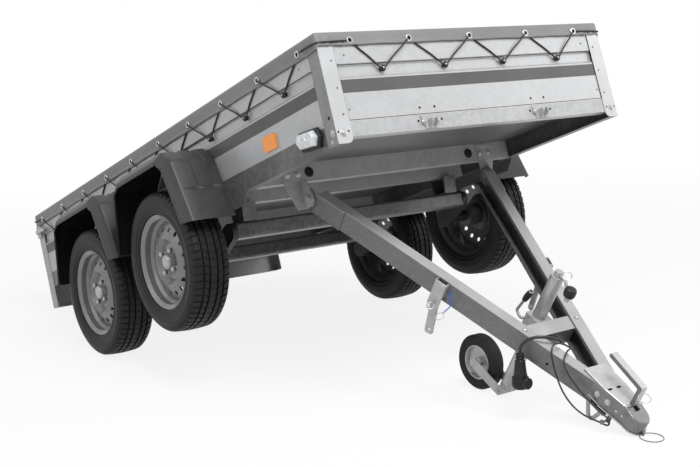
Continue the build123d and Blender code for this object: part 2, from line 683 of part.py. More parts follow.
# Axles: square beams under hangers, trailing arms and stub axles.
hub_back = WHEEL_Y - HUB_BACK
arm_end = AXLE_HALF + ARM_SHEET
hanger_y = AXLE_HALF - HANGER_INSET + HANGER_WIDTH / 2
hanger_low = AXLE_Z + AXLE_BAR / 2
axle_bars = []
arms = []
hangers = []
for wheel_x in (FRONT_WHEEL_X, REAR_WHEEL_X):
    beam_x = wheel_x + AXLE_AHEAD
    bore = AXLE_BAR - 2 * AXLE_WALL
    bar = Pos(beam_x, 0, AXLE_Z) * Box(AXLE_BAR, 2 * AXLE_HALF, AXLE_BAR)
    bar = fillet(bar.edges().filter_by(Axis.Y), AXLE_CORNER)
    axle_bars.append(bar - Pos(beam_x, 0, AXLE_Z) * Box(bore, 2 * AXLE_HALF, bore))
    arm_ends = [Pos(beam_x, AXLE_Z) * Circle(ARM_RADIUS), Pos(wheel_x, WHEEL_Z) * Circle(ARM_RADIUS)]
    arm = Plane.XZ * make_hull([edge for disc in arm_ends for edge in disc.edges()])
    arm = Pos(0, arm_end, 0) * extrude(arm, amount=ARM_SHEET)
    arm += across(wheel_x, WHEEL_Z, STUB_RADIUS + STUB_SHOULDER, arm_end, hub_back - KNUCKLE_GAP)
    arm += across(wheel_x, WHEEL_Z, STUB_RADIUS, hub_back - KNUCKLE_GAP, WHEEL_Y + STUB_END)
    arms += both(arm)
    top = HANGER_TOP / 2
    low = HANGER_FOOT / 2
    shape = [(beam_x - top, 0), (beam_x + top, 0), (beam_x + low, hanger_low), (beam_x - low, hanger_low)]
    hanger = Pos(0, hanger_y, 0) * extrude(face(Plane.XZ, shape), amount=HANGER_WIDTH)
    top -= HANGER_SHEET
    low -= HANGER_SHEET
    floor_z = hanger_low + HANGER_SHEET
    core = [(beam_x - top, 1), (beam_x + top, 1), (beam_x + low, floor_z), (beam_x - low, floor_z)]
    hanger -= Pos(0, hanger_y - HANGER_SHEET, 0) * extrude(face(Plane.XZ, core), amount=HANGER_WIDTH)
    hangers += both(hanger)
add("axle_beams", BED, *axle_bars)
add("swing_arms", BED, *arms)
add("axle_brackets", BED, *hangers)

# Wheels, built about their own middle with y outward.
half_tyre = TYRE_WIDTH / 2
half_section = [
    (TYRE_RADIUS, TREAD_WIDTH / 2),
    (TYRE_RADIUS - SHOULDER_DROP, half_tyre),
    (RIM_RADIUS + BEAD_GAP, half_tyre - BEAD_TUCK),
]
tyre = spun([(r, -y) for r, y in half_section[::-1]] + half_section)
ledge = RIM_HALF - RIM_FLANGE
slope = ledge - RIM_LEDGE
half_barrel = [(RIM_WELL, slope - RIM_STEP), (RIM_SEAT, slope), (RIM_SEAT, ledge), (RIM_RADIUS, RIM_HALF)]
barrel = spun(folded(half_barrel[::-1] + [(r, -y) for r, y in half_barrel], RIM_SHEET))
disc_path = [
    (HUB_NOSE + HUB_CLEAR, DISC_FACE),
    (DISC_FLAT, DISC_FACE),
    (DISC_RING, DISC_FACE + DISC_RISE),
    (RIM_WELL, slope - RIM_STEP),
]
rim = barrel + spun(folded(disc_path, -RIM_SHEET))
for index in range(VENT_COUNT):
    vent = rod((VENT_CIRCLE, 0, 0), (VENT_CIRCLE, RIM_HALF, 0), VENT_RADIUS)
    rim -= Rot(0, index * 360 / VENT_COUNT, 0) * vent
bore_radius = STUB_RADIUS + RUN_GAP
cap_face = DISC_FACE + HUB_CAP
bore_end = STUB_END + STUB_GAP
hub = spun([
    (bore_radius, -HUB_BACK),
    (HUB_RADIUS, -HUB_BACK),
    (HUB_RADIUS, DISC_FACE - HUB_FLANGE_SHEET),
    (HUB_FLANGE, DISC_FACE - HUB_FLANGE_SHEET),
    (HUB_FLANGE, DISC_FACE),
    (HUB_NOSE, DISC_FACE),
    (HUB_NOSE, cap_face - CAP_BEVEL),
    (HUB_NOSE - CAP_BEVEL, cap_face),
    (0, cap_face),
    (0, bore_end),
    (bore_radius, bore_end),
])
bolt_back = DISC_FACE + RIM_SHEET
bolts = []
for index in range(BOLT_COUNT):
    bolt = rod((BOLT_CIRCLE, bolt_back, 0), (BOLT_CIRCLE, bolt_back + BOLT_HEIGHT, 0), BOLT_RADIUS)
    bolts.append(Rot(0, (index + 0.5) * 360 / BOLT_COUNT, 0) * bolt)
for side_name, turn, wheel_y in (("left", 0, WHEEL_Y), ("right", 180, -WHEEL_Y)):
    for end_name, wheel_x in (("front", FRONT_WHEEL_X), ("rear", REAR_WHEEL_X)):
        place = BED * Pos(wheel_x, wheel_y, WHEEL_Z) * Rot(0, 0, turn)
        tag = "_" + end_name + "_" + side_name
        add("tyre" + tag, place, tyre)
        add("rim" + tag, place, rim)
        add("hub" + tag, place, hub, *bolts)

# Mudguards with two long flutes over the crown, on plates along the frame.
drawn_on = GUARD_SKIRT + GUARD_BEVEL
guard = guard_solid(0, 0, OUTER_Y, GUARD_OUTER_Y)
guard = chamfer(guard.faces().sort_by(Axis.Y)[-1].edges().sort_by(Axis.Z)[1:], GUARD_BEVEL)
void = guard_solid(GUARD_SHEET, drawn_on, OUTER_Y - 1, GUARD_OUTER_Y - GUARD_SHEET)
guard -= chamfer(void.faces().sort_by(Axis.Y)[-1].edges().sort_by(Axis.Z)[1:], GUARD_BEVEL - 1)
guard -= guard_solid(GUARD_SKIRT, drawn_on, GUARD_OUTER_Y - GUARD_BEVEL - GUARD_SHEET, GUARD_OUTER_Y + 1)
above_ends = block(-GUARD_FOOT[0], GUARD_FOOT[0], OUTER_Y, GUARD_OUTER_Y, RIB_END_Z, GUARD_CROWN[1] + 1)
for middle in GUARD_RIBS:
    y0 = OUTER_Y + middle - RIB_WIDTH / 2
    flute = guard_solid(0, 0, y0, y0 + RIB_WIDTH)
    flute -= guard_solid(RIB_DEPTH, drawn_on, y0 - 1, y0 + RIB_WIDTH + 1)
    guard -= flute & above_ends
guards = both(Pos(FRONT_WHEEL_X, 0, 0) * guard) + both(Pos(REAR_WHEEL_X, 0, 0) * guard)
add("mudguards", BED, *guards)
plate_front = FRONT_WHEEL_X + GUARD_FOOT[0] + PLATE_REACH
plate_back = REAR_WHEEL_X - GUARD_FOOT[0] - PLATE_REACH
plate_top = FRAME_DEPTH - GATE_GAP
plate_shape = [
    (plate_back, plate_top),
    (plate_back, plate_top - PLATE_END),
    (plate_back + PLATE_SLANT, PLATE_LOW),
    (plate_front - PLATE_SLANT, PLATE_LOW),
    (plate_front, plate_top - PLATE_END),
    (plate_front, plate_top),
]
guard_plate = Pos(0, OUTER_Y, 0) * extrude(face(Plane.XZ, plate_shape), amount=POST_SHEET)
add("mudguard_plates", BED, *both(guard_plate))

# Tilt hinge: brackets under the front cross member carry the pins.
wing_top = FRAME_DEPTH - WING_TOP_GAP
hinge_low = HINGE_Z - CHEEK_DROP
wing = [
    (CHEEK_Y, wing_top),
    (CHEEK_Y + WING_WIDTH, wing_top),
    (CHEEK_Y + WING_WIDTH, 0),
    (CHEEK_Y + WING_FOOT, hinge_low),
    (CHEEK_Y, hinge_low),
]
cheek_tip = HINGE_X + CHEEK_AHEAD
cheek = [
    (HINGE_BEAM_X, 0),
    (HINGE_BEAM_X, hinge_low),
    (cheek_tip - CHEEK_CORNER, hinge_low),
    (cheek_tip, hinge_low + CHEEK_CORNER),
    (cheek_tip, HINGE_Z + CHEEK_CORNER),
    (HINGE_X, 0),
]
cheek_out = CHEEK_Y + CHEEK_SHEET
bracket = Pos(HINGE_BEAM_X, 0, 0) * extrude(face(Plane.YZ, wing), amount=CHEEK_SHEET)
bracket += Pos(0, cheek_out, 0) * extrude(face(Plane.XZ, cheek), amount=CHEEK_SHEET)
bracket += across(HINGE_X, HINGE_Z, TILT_PIN_RADIUS, EAR_Y - TILT_PIN_TAIL, cheek_out)
bracket += across(HINGE_X, HINGE_Z, TILT_PIN_RADIUS + PIN_HEAD, cheek_out, cheek_out + PIN_HEAD_DEPTH)
add("tilt_hinge_brackets", BED, *both(bracket))
catch_low = FRAME_DEPTH - CATCH_SHEET - CATCH_HEIGHT
catch_top = catch_low + CATCH_HEIGHT
half = CATCH_WIDTH / 2
catch_shape = [
    (CATCH_Y - half, catch_top),
    (CATCH_Y + half, catch_top),
    (CATCH_Y + half - CATCH_SLANT, catch_low),
    (CATCH_Y - half + CATCH_SLANT, catch_low),
]
catch_face = SKIN_FRONT + CATCH_SHEET
catch = Pos(SKIN_FRONT, 0, 0) * extrude(face(Plane.YZ, catch_shape), amount=CATCH_SHEET)
for jaw_y in (CATCH_Y - CATCH_JAW / 2 - CATCH_JAW_SHEET, CATCH_Y + CATCH_JAW / 2):
    jaw = block(catch_face, catch_face + CATCH_REACH, jaw_y, jaw_y + CATCH_JAW_SHEET,
                catch_low + CATCH_SHEET, catch_top - CATCH_SLANT)
    nose_edge = jaw.edges().filter_by(Axis.Y).sort_by(lambda edge: edge.center().X - edge.center().Z)[-1]
    catch += chamfer(nose_edge, CATCH_SLANT)
add("lock_catches", BED, *both(catch))

# Drawbar: ears at the hinge, converging rails, a bridge between them.
ear_tip = (EAR_BEND_U + EAR_TAIL, EAR_Y - EAR_TAIL * RAIL_SLOPE)
ear_path = [ear_tip, (EAR_BEND_U, EAR_Y), (0, EAR_Y)]
ear_plan = face(Plane.XY, folded(ear_path, EAR_SHEET))
strap = Pos(0, 0, -RAIL_HEIGHT / 2) * extrude(ear_plan, amount=RAIL_HEIGHT)
ear = strap + across(0, 0, RAIL_HEIGHT / 2, EAR_Y, EAR_Y + EAR_SHEET)
ear -= across(0, 0, TILT_PIN_RADIUS + RUN_GAP, EAR_Y - EAR_SHEET, EAR_Y + 2 * EAR_SHEET)
add("drawbar_ears", DRAWBAR, *both(ear))
rail_run = (RAIL_END_U - EAR_BEND_U) / cos(radians(RAIL_ANGLE))
rail_shape = [(-x, y) for x, y in channel(RAIL_HEIGHT, RAIL_FLANGE, RAIL_SHEET, RAIL_LIP)]
rail = extrude(face(Plane.YZ, rail_shape), amount=rail_run)
rail = Pos(EAR_BEND_U, EAR_Y, 0) * Rot(0, 0, -RAIL_ANGLE) * rail
add("drawbar_rail_left", DRAWBAR, rail)
add("drawbar_rail_right", DRAWBAR, mirror(rail, about=Plane.XZ))
rail_width = RAIL_FLANGE / cos(radians(RAIL_ANGLE))
back_half = rail_y(BRIDGE_BACK) - rail_width
front_half = rail_y(BRIDGE_FRONT) - rail_width
plan = [
    (BRIDGE_BACK, back_half),
    (BRIDGE_FRONT, front_half),
    (BRIDGE_FRONT, -front_half),
    (BRIDGE_BACK, -back_half),
]
bridge = Pos(0, 0, -BRIDGE_DEPTH / 2) * extrude(face(Plane.XY, plan), amount=BRIDGE_DEPTH)
bridge -= block(BRIDGE_BACK + RAIL_SHEET, BRIDGE_FRONT - RAIL_SHEET, -back_half - 1, back_half + 1,
                -BRIDGE_DEPTH, BRIDGE_DEPTH / 2 - RAIL_SHEET)
add("drawbar_bridge", DRAWBAR, bridge)

# Foot: a bent rod on a pad below the rails.
foot_top = -RAIL_HEIGHT / 2
leg_back = FOOT_U - FOOT_LEG_BACK
leg_ahead = FOOT_U + FOOT_LEG_AHEAD
vee = (FOOT_U, 0, FOOT_W - FOOT_CORNER)
foot_line = FilletPolyline((leg_back, 0, foot_top), vee, (leg_ahead, 0, foot_top), radius=FOOT_BEND)
foot = swept(foot_line, FOOT_ROD)
foot += block(leg_back - FOOT_PAD_EDGE, leg_ahead + FOOT_PAD_EDGE, -FOOT_PAD_HALF, FOOT_PAD_HALF,
              foot_top - FOOT_PAD_SHEET, foot_top)
add("drawbar_foot", DRAWBAR, foot)

# Coupling: a pressed shell over the rail ends, its nose falling away over the ball cup.
nose_end = BALL_U + NOSE_RADIUS
rail_top = RAIL_HEIGHT / 2
body = coupler_solid(0, NOSE_UNDER, COUPLER_TOP)
fall = [
    (BALL_U - NOSE_RADIUS, COUPLER_TOP),
    (nose_end, COUPLER_TOP - NOSE_FALL),
    (nose_end, COUPLER_TOP + 1),
    (BALL_U - NOSE_RADIUS, COUPLER_TOP + 1),
]
body -= extrude(face(Plane.XZ, fall), amount=COUPLER_WIDTH, both=True)
top_edges = body.edges().filter_by(lambda edge: edge.center().Z > COUPLER_TOP - NOSE_FALL - 1)
rounded = top_edges.filter_by(lambda edge: edge.center().X > COUPLER_BACK + 1 and abs(edge.center().Y) > 1)
body = fillet(rounded, COUPLER_ROUND)
lip = coupler_solid(-NOSE_LIP, NOSE_UNDER, NOSE_UNDER + COUPLER_SHEET)
body += lip & block(COUPLER_SHOULDER, nose_end + 2 * NOSE_LIP, -COUPLER_WIDTH, COUPLER_WIDTH,
                    -COUPLER_WIDTH, 0)
hollow = coupler_solid(COUPLER_SHEET, NOSE_UNDER - 1, COUPLER_TOP)
cup_back = BALL_U - BALL_RADIUS - CUP_WALL
body -= hollow & block(COUPLER_BACK - 1, cup_back, -COUPLER_WIDTH, COUPLER_WIDTH, -COUPLER_WIDTH, rail_top)
skirt = COUPLER_WIDTH / 2 - COUPLER_SHEET
body -= block(COUPLER_BACK - 1, RAIL_END_U + 1, -skirt, skirt, -COUPLER_WIDTH, rail_top)
wedge_back = COUPLER_BACK - COUPLER_SHEET
wedge = [(wedge_back, rail_y(wedge_back)), (RAIL_END_U, rail_y(RAIL_END_U)),
         (RAIL_END_U, -rail_y(RAIL_END_U)), (wedge_back, -rail_y(wedge_back))]
body -= Pos(0, 0, -COUPLER_WIDTH) * extrude(face(Plane.XY, wedge), amount=COUPLER_WIDTH + rail_top)
body -= Pos(BALL_U, 0, BALL_W) * Sphere(BALL_RADIUS)
body -= rod((BALL_U, 0, NOSE_UNDER - 1), (BALL_U, 0, BALL_W), BALL_RADIUS)
hook_u = BALL_U - HOOK_BACK
hook_w = NOSE_UNDER - HOOK_DROP + 2 * HOOK_ROD
neck_share = (hook_u - COUPLER_SHOULDER) / (NOSE_REACH - NOSE_NECK)
hook_y = COUPLER_WIDTH / 2 + neck_share * (NOSE_RADIUS - COUPLER_WIDTH / 2)
tab_in = hook_y - COUPLER_SHEET
body += block(hook_u - 2 * HOOK_ROD, hook_u + 2 * HOOK_ROD, -hook_y, -tab_in,
              hook_w - 2 * HOOK_ROD, NOSE_UNDER + HOOK_ROD)
stud_end = -tab_in - HOOK_LENGTH
body += across(hook_u, hook_w, HOOK_ROD, stud_end, -tab_in)
body += across(hook_u, hook_w, 2 * HOOK_ROD, stud_end - HOOK_ROD, stud_end)
lug_u = nose_end + NOSE_LIP
lug_w = NOSE_UNDER + RING_LUG
lug = block(nose_end - COUPLER_SHEET, lug_u, -RING_LUG_SHEET / 2, RING_LUG_SHEET / 2, NOSE_UNDER, lug_w)
lug += across(lug_u, lug_w - RING_LUG / 2, RING_LUG / 2, -RING_LUG_SHEET / 2, RING_LUG_SHEET / 2)
body += lug
body -= across(lug_u, lug_w - RING_LUG / 2, RING_HOLE, -RING_LUG_SHEET, RING_LUG_SHEET)
ring_seat = Pos(lug_u, 0, lug_w - RING_LUG / 2) * Rot(0, RING_LEAN - DRAWBAR_DROP, 0)
rest = RING_HOLE - RING_WIRE - RUN_GAP
pull_ring = ring_seat * Pos(RING_RADIUS - rest, 0, 0) * Torus(RING_RADIUS, RING_WIRE)
add("coupling_body", DRAWBAR, body, pull_ring)
root_u = BALL_U - HANDLE_ROOT
lever_path = [
    (root_u, COUPLER_TOP),
    (root_u, COUPLER_TOP + HANDLE_RISE),
    (BALL_U - HANDLE_BACK, COUPLER_TOP + HANDLE_RISE + HANDLE_SLOPE),
]
lever = extrude(face(Plane.XZ, folded(lever_path, HANDLE_DEPTH)), amount=HANDLE_WIDTH / 2, both=True)
lever = fillet(lever.edges().filter_by(Axis.Y).sort_by(Axis.Z)[2:], HANDLE_ROUND)
inside = folded(lever_path, HANDLE_DEPTH - HANDLE_SHEET)
lever -= extrude(face(Plane.XZ, inside), amount=HANDLE_WIDTH / 2 - HANDLE_SHEET, both=True)
add("coupling_handle", DRAWBAR, lever)

# Tilt locks on the rails' outer faces: a folded strap with a bar that hangs from a pin.
on_rail = Pos(LOCK_U, rail_y(LOCK_U), 0) * Rot(0, 0, -RAIL_ANGLE)
half = LOCK_WIDTH / 2
strap_in = LOCK_REACH - LOCK_SHEET
strap = block(-half, half, strap_in, LOCK_REACH, LOCK_LOW, LOCK_TOP)
strap += block(-half, LOCK_SHEET - half, 0, LOCK_REACH, LOCK_CHEEK_LOW, LOCK_TOP)
strap += block(half - LOCK_SHEET, half, 0, LOCK_REACH, LOCK_CHEEK_LOW, LOCK_TOP)
strap = chamfer(strap.faces().sort_by(Axis.Z)[-1].edges().sort_by(Axis.Y)[-1], LOCK_SHEET / 2)
strap -= rod((0, 0, LOCK_PIN_W), (0, LOCK_REACH + 1, LOCK_PIN_W), LOCK_PIN + RUN_GAP)
add("lock_brackets", DRAWBAR, *both(on_rail * strap))
bar_half = LOCK_BAR_WIDTH / 2
bar = block(-bar_half, bar_half, LOCK_BAR_OUT, LOCK_BAR_OUT + LOCK_BAR_SHEET,
            bar_half - LOCK_BAR_LENGTH, bar_half)
bar = fillet(bar.edges().filter_by(Axis.Y), bar_half / 2)
hole_z = LOCK_BAR_WIDTH - LOCK_BAR_LENGTH
bar -= rod((0, 0, hole_z), (0, LOCK_REACH, hole_z), LOCK_BAR_HOLE)
bar = Pos(0, 0, LOCK_PIN_W) * Rot(0, -LOCK_BAR_LEAN, 0) * bar
bar += rod((0, LOCK_PIN_IN, LOCK_PIN_W), (0, LOCK_PIN_OUT, LOCK_PIN_W), LOCK_PIN)
add("lock_bars", DRAWBAR, *both(on_rail * bar))

# Jockey wheel: clamp with a bent handle, crank, sliding tubes, folding fork and wheel.
fork_in = JOCKEY_TYRE_WIDTH / 2 + FORK_GAP
fork_out = fork_in + FORK_SHEET
boss = FORK_WIDTH / 2
tube_low = JOCKEY_W + boss + JOCKEY_COLLAR
tube = rod((JOCKEY_U, 0, tube_low), (JOCKEY_U, 0, JOCKEY_TOP), JOCKEY_TUBE)
tube_bore = JOCKEY_TUBE - JOCKEY_TUBE_SHEET
tube -= rod((JOCKEY_U, 0, tube_low - 1), (JOCKEY_U, 0, JOCKEY_TOP - JOCKEY_LID), tube_bore)
add("jockey_outer_tube", DRAWBAR, tube)
clamp_back = JOCKEY_U - JOCKEY_TUBE - CLAMP_WALL
clamp = block(clamp_back, BRIDGE_BACK, -CLAMP_HALF, CLAMP_HALF, CLAMP_LOW, CLAMP_TOP)
clamp = fillet(clamp.edges().filter_by(Axis.Z).sort_by(Axis.X)[:2], CLAMP_ROUND)
clamp -= rod((JOCKEY_U, 0, CLAMP_LOW - 1), (JOCKEY_U, 0, CLAMP_TOP + 1), JOCKEY_TUBE)
screw_u = JOCKEY_U - CLAMP_SCREW_BACK
arm_y = -CLAMP_HALF - CLAMP_ARM_OUT
handle_line = FilletPolyline(
    (screw_u, CLAMP_ROD - CLAMP_HALF, CLAMP_SCREW_W),
    (screw_u, arm_y, CLAMP_SCREW_W),
    (screw_u - CLAMP_ARM_BACK, arm_y, CLAMP_SCREW_W + CLAMP_ARM_RISE),
    (screw_u - CLAMP_GRIP_BACK, arm_y, CLAMP_SCREW_W + CLAMP_GRIP_TOP),
    radius=2 * CLAMP_ROD,
)
clamp += swept(handle_line, CLAMP_ROD)
grip_end = handle_line @ 1
grip_axis = handle_line % 1
clamp += rod(tuple(grip_end - grip_axis * CLAMP_GRIP_LENGTH), tuple(grip_end), CLAMP_GRIP)
add("jockey_clamp", DRAWBAR, clamp)
cap_top = JOCKEY_TOP + CRANK_CAP_HEIGHT
crank_w = JOCKEY_TOP + CRANK_CAP_HEIGHT / 2
knob_u = JOCKEY_U + CRANK_REACH
knob_w = crank_w - CRANK_FALL
crank = rod((JOCKEY_U, 0, JOCKEY_TOP), (JOCKEY_U, 0, cap_top), CRANK_CAP)
crank_line = FilletPolyline((JOCKEY_U, 0, crank_w), (JOCKEY_U + CRANK_REACH / 2, 0, crank_w),
                            (knob_u, 0, knob_w), radius=2 * CRANK_CAP)
crank += swept(crank_line, CRANK_ROD)
crank += rod((knob_u, 0, knob_w - CRANK_ROD), (knob_u, 0, knob_w + KNOB_HEIGHT), KNOB_STEM)
head = rod((knob_u, 0, knob_w + KNOB_HEIGHT - KNOB_HEAD), (knob_u, 0, knob_w + KNOB_HEIGHT), KNOB_RADIUS)
crank += fillet(head.edges().filter_by(GeomType.CIRCLE), KNOB_ROUND)
add("jockey_crank", DRAWBAR, crank)
collar_low = JOCKEY_W + boss - FORK_SHEET
inner = rod((JOCKEY_U, 0, collar_low), (JOCKEY_U, 0, tube_low - RUN_GAP), JOCKEY_TUBE)
inner += rod((JOCKEY_U, 0, collar_low), (JOCKEY_U, 0, JOCKEY_TOP - JOCKEY_RUNOUT), JOCKEY_INNER)
inner_bore = JOCKEY_INNER - JOCKEY_INNER_SHEET
inner -= rod((JOCKEY_U, 0, collar_low + JOCKEY_SOLE), (JOCKEY_U, 0, JOCKEY_TOP), inner_bore)
inner += across(JOCKEY_U, JOCKEY_W, boss, RUN_GAP - fork_in, fork_in - RUN_GAP)
inner -= across(JOCKEY_U, JOCKEY_W, JOCKEY_PIN + RUN_GAP, -fork_out, fork_out)
add("jockey_inner_tube", DRAWBAR, inner)
pin_end = fork_out + JOCKEY_PIN_HEAD
fork = across(JOCKEY_U, JOCKEY_W, JOCKEY_PIN, -pin_end, pin_end)
fork += across(JOCKEY_WHEEL_U, JOCKEY_W, JOCKEY_AXLE, -pin_end, pin_end)
for y0, y1 in ((-fork_out, -fork_in), (fork_in, fork_out)):
    fork += block(JOCKEY_WHEEL_U, JOCKEY_U, y0, y1, JOCKEY_W - boss, JOCKEY_W + boss)
    fork += across(JOCKEY_WHEEL_U, JOCKEY_W, boss, y0, y1)
    fork += across(JOCKEY_U, JOCKEY_W, boss, y0, y1)
add("jockey_fork", DRAWBAR, fork)
wheel_half = JOCKEY_TYRE_WIDTH / 2
seat_half = wheel_half - JOCKEY_BEAD
jockey_place = DRAWBAR * Pos(JOCKEY_WHEEL_U, 0, JOCKEY_W)
half_section = [
    (JOCKEY_TYRE, wheel_half - JOCKEY_TYRE_ROUND),
    (JOCKEY_TYRE - JOCKEY_TYRE_ROUND, wheel_half),
    (JOCKEY_RIM, seat_half),
]
add("jockey_tyre", jockey_place, spun([(r, -y) for r, y in half_section[::-1]] + half_section))
half_section = [
    (JOCKEY_RIM, seat_half),
    (JOCKEY_RIM - JOCKEY_BEAD, seat_half),
    (JOCKEY_RIM - JOCKEY_DISC, JOCKEY_DISC),
    (JOCKEY_HUB, JOCKEY_DISC),
    (JOCKEY_HUB, JOCKEY_HUB_HALF),
    (JOCKEY_AXLE + RUN_GAP, JOCKEY_HUB_HALF),
]
add("jockey_rim", jockey_place, spun([(r, -y) for r, y in half_section[::-1]] + half_section))

# Plug and cables on the drawbar: they leave the bridge's front face and pass over the right rail.
plumb = Vector(sin(drop), 0, -cos(drop))
plug_top = Vector(*PLUG_TOP)
plug_place = Plane(plug_top, x_dir=Vector(cos(drop), 0, sin(drop)), z_dir=plumb)
body_end = PLUG_NECK_LENGTH + PLUG_BODY_LENGTH
plug_end = body_end + PLUG_HEAD_LENGTH
plug_section = [
    (0, 0),
    (PLUG_NECK - PLUG_NECK_TAPER, 0),
    (PLUG_NECK, PLUG_NECK_LENGTH),
    (PLUG_BODY, body_end),
    (PLUG_HEAD, body_end),
    (PLUG_HEAD, plug_end - PLUG_EDGE),
    (PLUG_HEAD - PLUG_EDGE, plug_end),
    (0, plug_end),
]
plug = revolve(Plane.XZ * make_face(Polyline(*plug_section, close=True)), Axis.Z)
cap_radius = PLUG_HEAD_LENGTH / 2 - PLUG_CAP_GAP
cap_z = body_end + cap_radius
plug += rod((0, 0, cap_z), (PLUG_CAP_REACH, 0, cap_z), cap_radius)
add("tow_plug", DRAWBAR, plug_place * plug)
last_bend = plug_top - plumb * PLUG_LEAD
route = [(BRIDGE_FRONT, *TOW_END), *TOW_ROUTE, tuple(last_bend), PLUG_TOP]
add("tow_cable", DRAWBAR, cord_tube("tow_cable", route, TOW_CABLE))
route = [(BRIDGE_FRONT, *SAFETY_ENDS[0]), *SAFETY_ROUTE, (BRIDGE_FRONT, *SAFETY_ENDS[1])]
add("safety_cable", DRAWBAR, cord_tube("safety_cable", route, SAFETY_CABLE))
lanyard_root = (LANYARD_U, -rail_y(LANYARD_U), LANYARD_W)
out_of_rail = Vector(sin(radians(RAIL_ANGLE)), -cos(radians(RAIL_ANGLE)), 0)
lanyard_lead = Vector(*lanyard_root) + out_of_rail * LANYARD_LEAD
route = [lanyard_root, tuple(lanyard_lead), *LANYARD_ROUTE]
add("lock_lanyard", DRAWBAR, cord_tube("lock_lanyard", route, LANYARD))

# The origin goes under the middle of everything, on the floor.
extent = Compound([solid for solids in nodes.values() for solid in solids]).bounding_box()
ORIGIN = Pos(-extent.center().X, 0, 0)
for name, solids in nodes.items():
    placed = [ORIGIN * solid for solid in solids]
    export_step(placed[0] if len(placed) == 1 else Compound(placed), f"parts/{name}.step")
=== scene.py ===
import json
import math

import bmesh
import bpy
from mathutils import Matrix, Vector


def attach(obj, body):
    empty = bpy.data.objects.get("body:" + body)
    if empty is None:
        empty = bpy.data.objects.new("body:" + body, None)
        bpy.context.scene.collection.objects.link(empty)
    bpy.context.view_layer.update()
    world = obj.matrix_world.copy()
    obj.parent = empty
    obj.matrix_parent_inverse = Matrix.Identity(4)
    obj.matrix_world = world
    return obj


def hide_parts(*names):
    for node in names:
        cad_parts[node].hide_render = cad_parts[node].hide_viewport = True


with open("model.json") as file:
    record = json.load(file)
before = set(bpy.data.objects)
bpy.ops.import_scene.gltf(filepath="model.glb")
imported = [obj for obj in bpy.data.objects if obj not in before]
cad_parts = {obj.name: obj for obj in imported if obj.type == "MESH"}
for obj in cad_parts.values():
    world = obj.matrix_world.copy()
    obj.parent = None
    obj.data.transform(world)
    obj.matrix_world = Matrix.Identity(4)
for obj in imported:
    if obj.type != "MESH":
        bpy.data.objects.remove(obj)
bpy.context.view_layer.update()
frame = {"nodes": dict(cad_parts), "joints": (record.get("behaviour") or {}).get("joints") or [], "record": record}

nodes = frame["nodes"]
joints = {joint["name"]: joint for joint in frame["joints"]}


# Local frames, in metres: the bed (x forward from its front face, y left, z up from the post feet)
# and the drawbar (u forward from the tilt hinge, y left, w up).
def axes_matrix(x, y, z, origin):
    matrix = Matrix((x, y, z)).transposed().to_4x4()
    matrix.translation = origin
    return matrix


LEFT = Vector((0, 1, 0))
rear_hub = Vector(joints["wheel_rear_left_spin"]["pos_m"])
front_hub = Vector(joints["wheel_front_left_spin"]["pos_m"])
AHEAD = (front_hub - rear_hub).normalized()
BED_UP = AHEAD.cross(LEFT)
WHEEL_X = {"front": -1.030, "rear": -1.695}
WHEEL_Y = 0.745
WHEEL_Z = -0.155
bed_origin = rear_hub - AHEAD * WHEEL_X["rear"] - LEFT * WHEEL_Y - BED_UP * WHEEL_Z
BED = axes_matrix(AHEAD, LEFT, BED_UP, bed_origin)
DRAW_UP = -Vector(joints["jockey_extend"]["axis"])
DRAW = axes_matrix(LEFT.cross(DRAW_UP), LEFT, DRAW_UP, Vector(joints["bed_tilt"]["pos_m"]))

# Sizes in metres, most of them shared with the solids.
BED_LENGTH = 2.610
OUTER_Y = 0.645
SKIN_Y = 0.642
STRIPE = (0.163, 0.207)
GROOVE_Y = 0.634
COVER_Y = 0.6485
COVER_FRONT = 0.0035
COVER_EDGE = 0.319
COVER_DEEPER = 0.011
COVER_TOP = 0.3670
COVER_ROLL = 0.009
SHEET_TOP = COVER_TOP - 0.0004
EDGE_PULL = 0.12
HEM = 0.008
CORNER = 0.14
CREASE_HALF = 0.006
CREASES = ((0.030, 0.12, 0.0022), (0.052, -0.10, -0.0016), (0.074, 0.25, 0.0026), (0.098, 0.1, -0.0014))
LACE_PITCH = 0.267
LACE = 0.003
HOOK_X = -0.245
HOOK_Z = 0.238
EYELET_X = -0.110
EYELET_Z = 0.335
SIDE_EYELET_Z = 0.331
FRONT_HOOKS = (0.404, 0.1347, -0.1347, -0.404)
FRONT_EYELETS = (0.515, 0.270, 0.0, -0.270, -0.515)
RIM_BACK = WHEEL_Y + 0.020
TYRE_R = 0.267
TREAD_HALF = 0.063
TREAD_PITCHES = 60
RAIL_TOP = 0.039
BRIDGE_TOP = 0.031
COUPLING_TOP = 0.046
NOSE_UNDER = -0.020
NOSE_LIP_HIGHLIGHT = 0.0048
HANDLE_SIDE = 0.013
RAIL_SLOPE = 0.334
RAIL_TURN = math.atan(RAIL_SLOPE)


def rail_y(u):
    """Outer face of the left drawbar rail."""
    return 0.424 - (u - 0.025) * RAIL_SLOPE


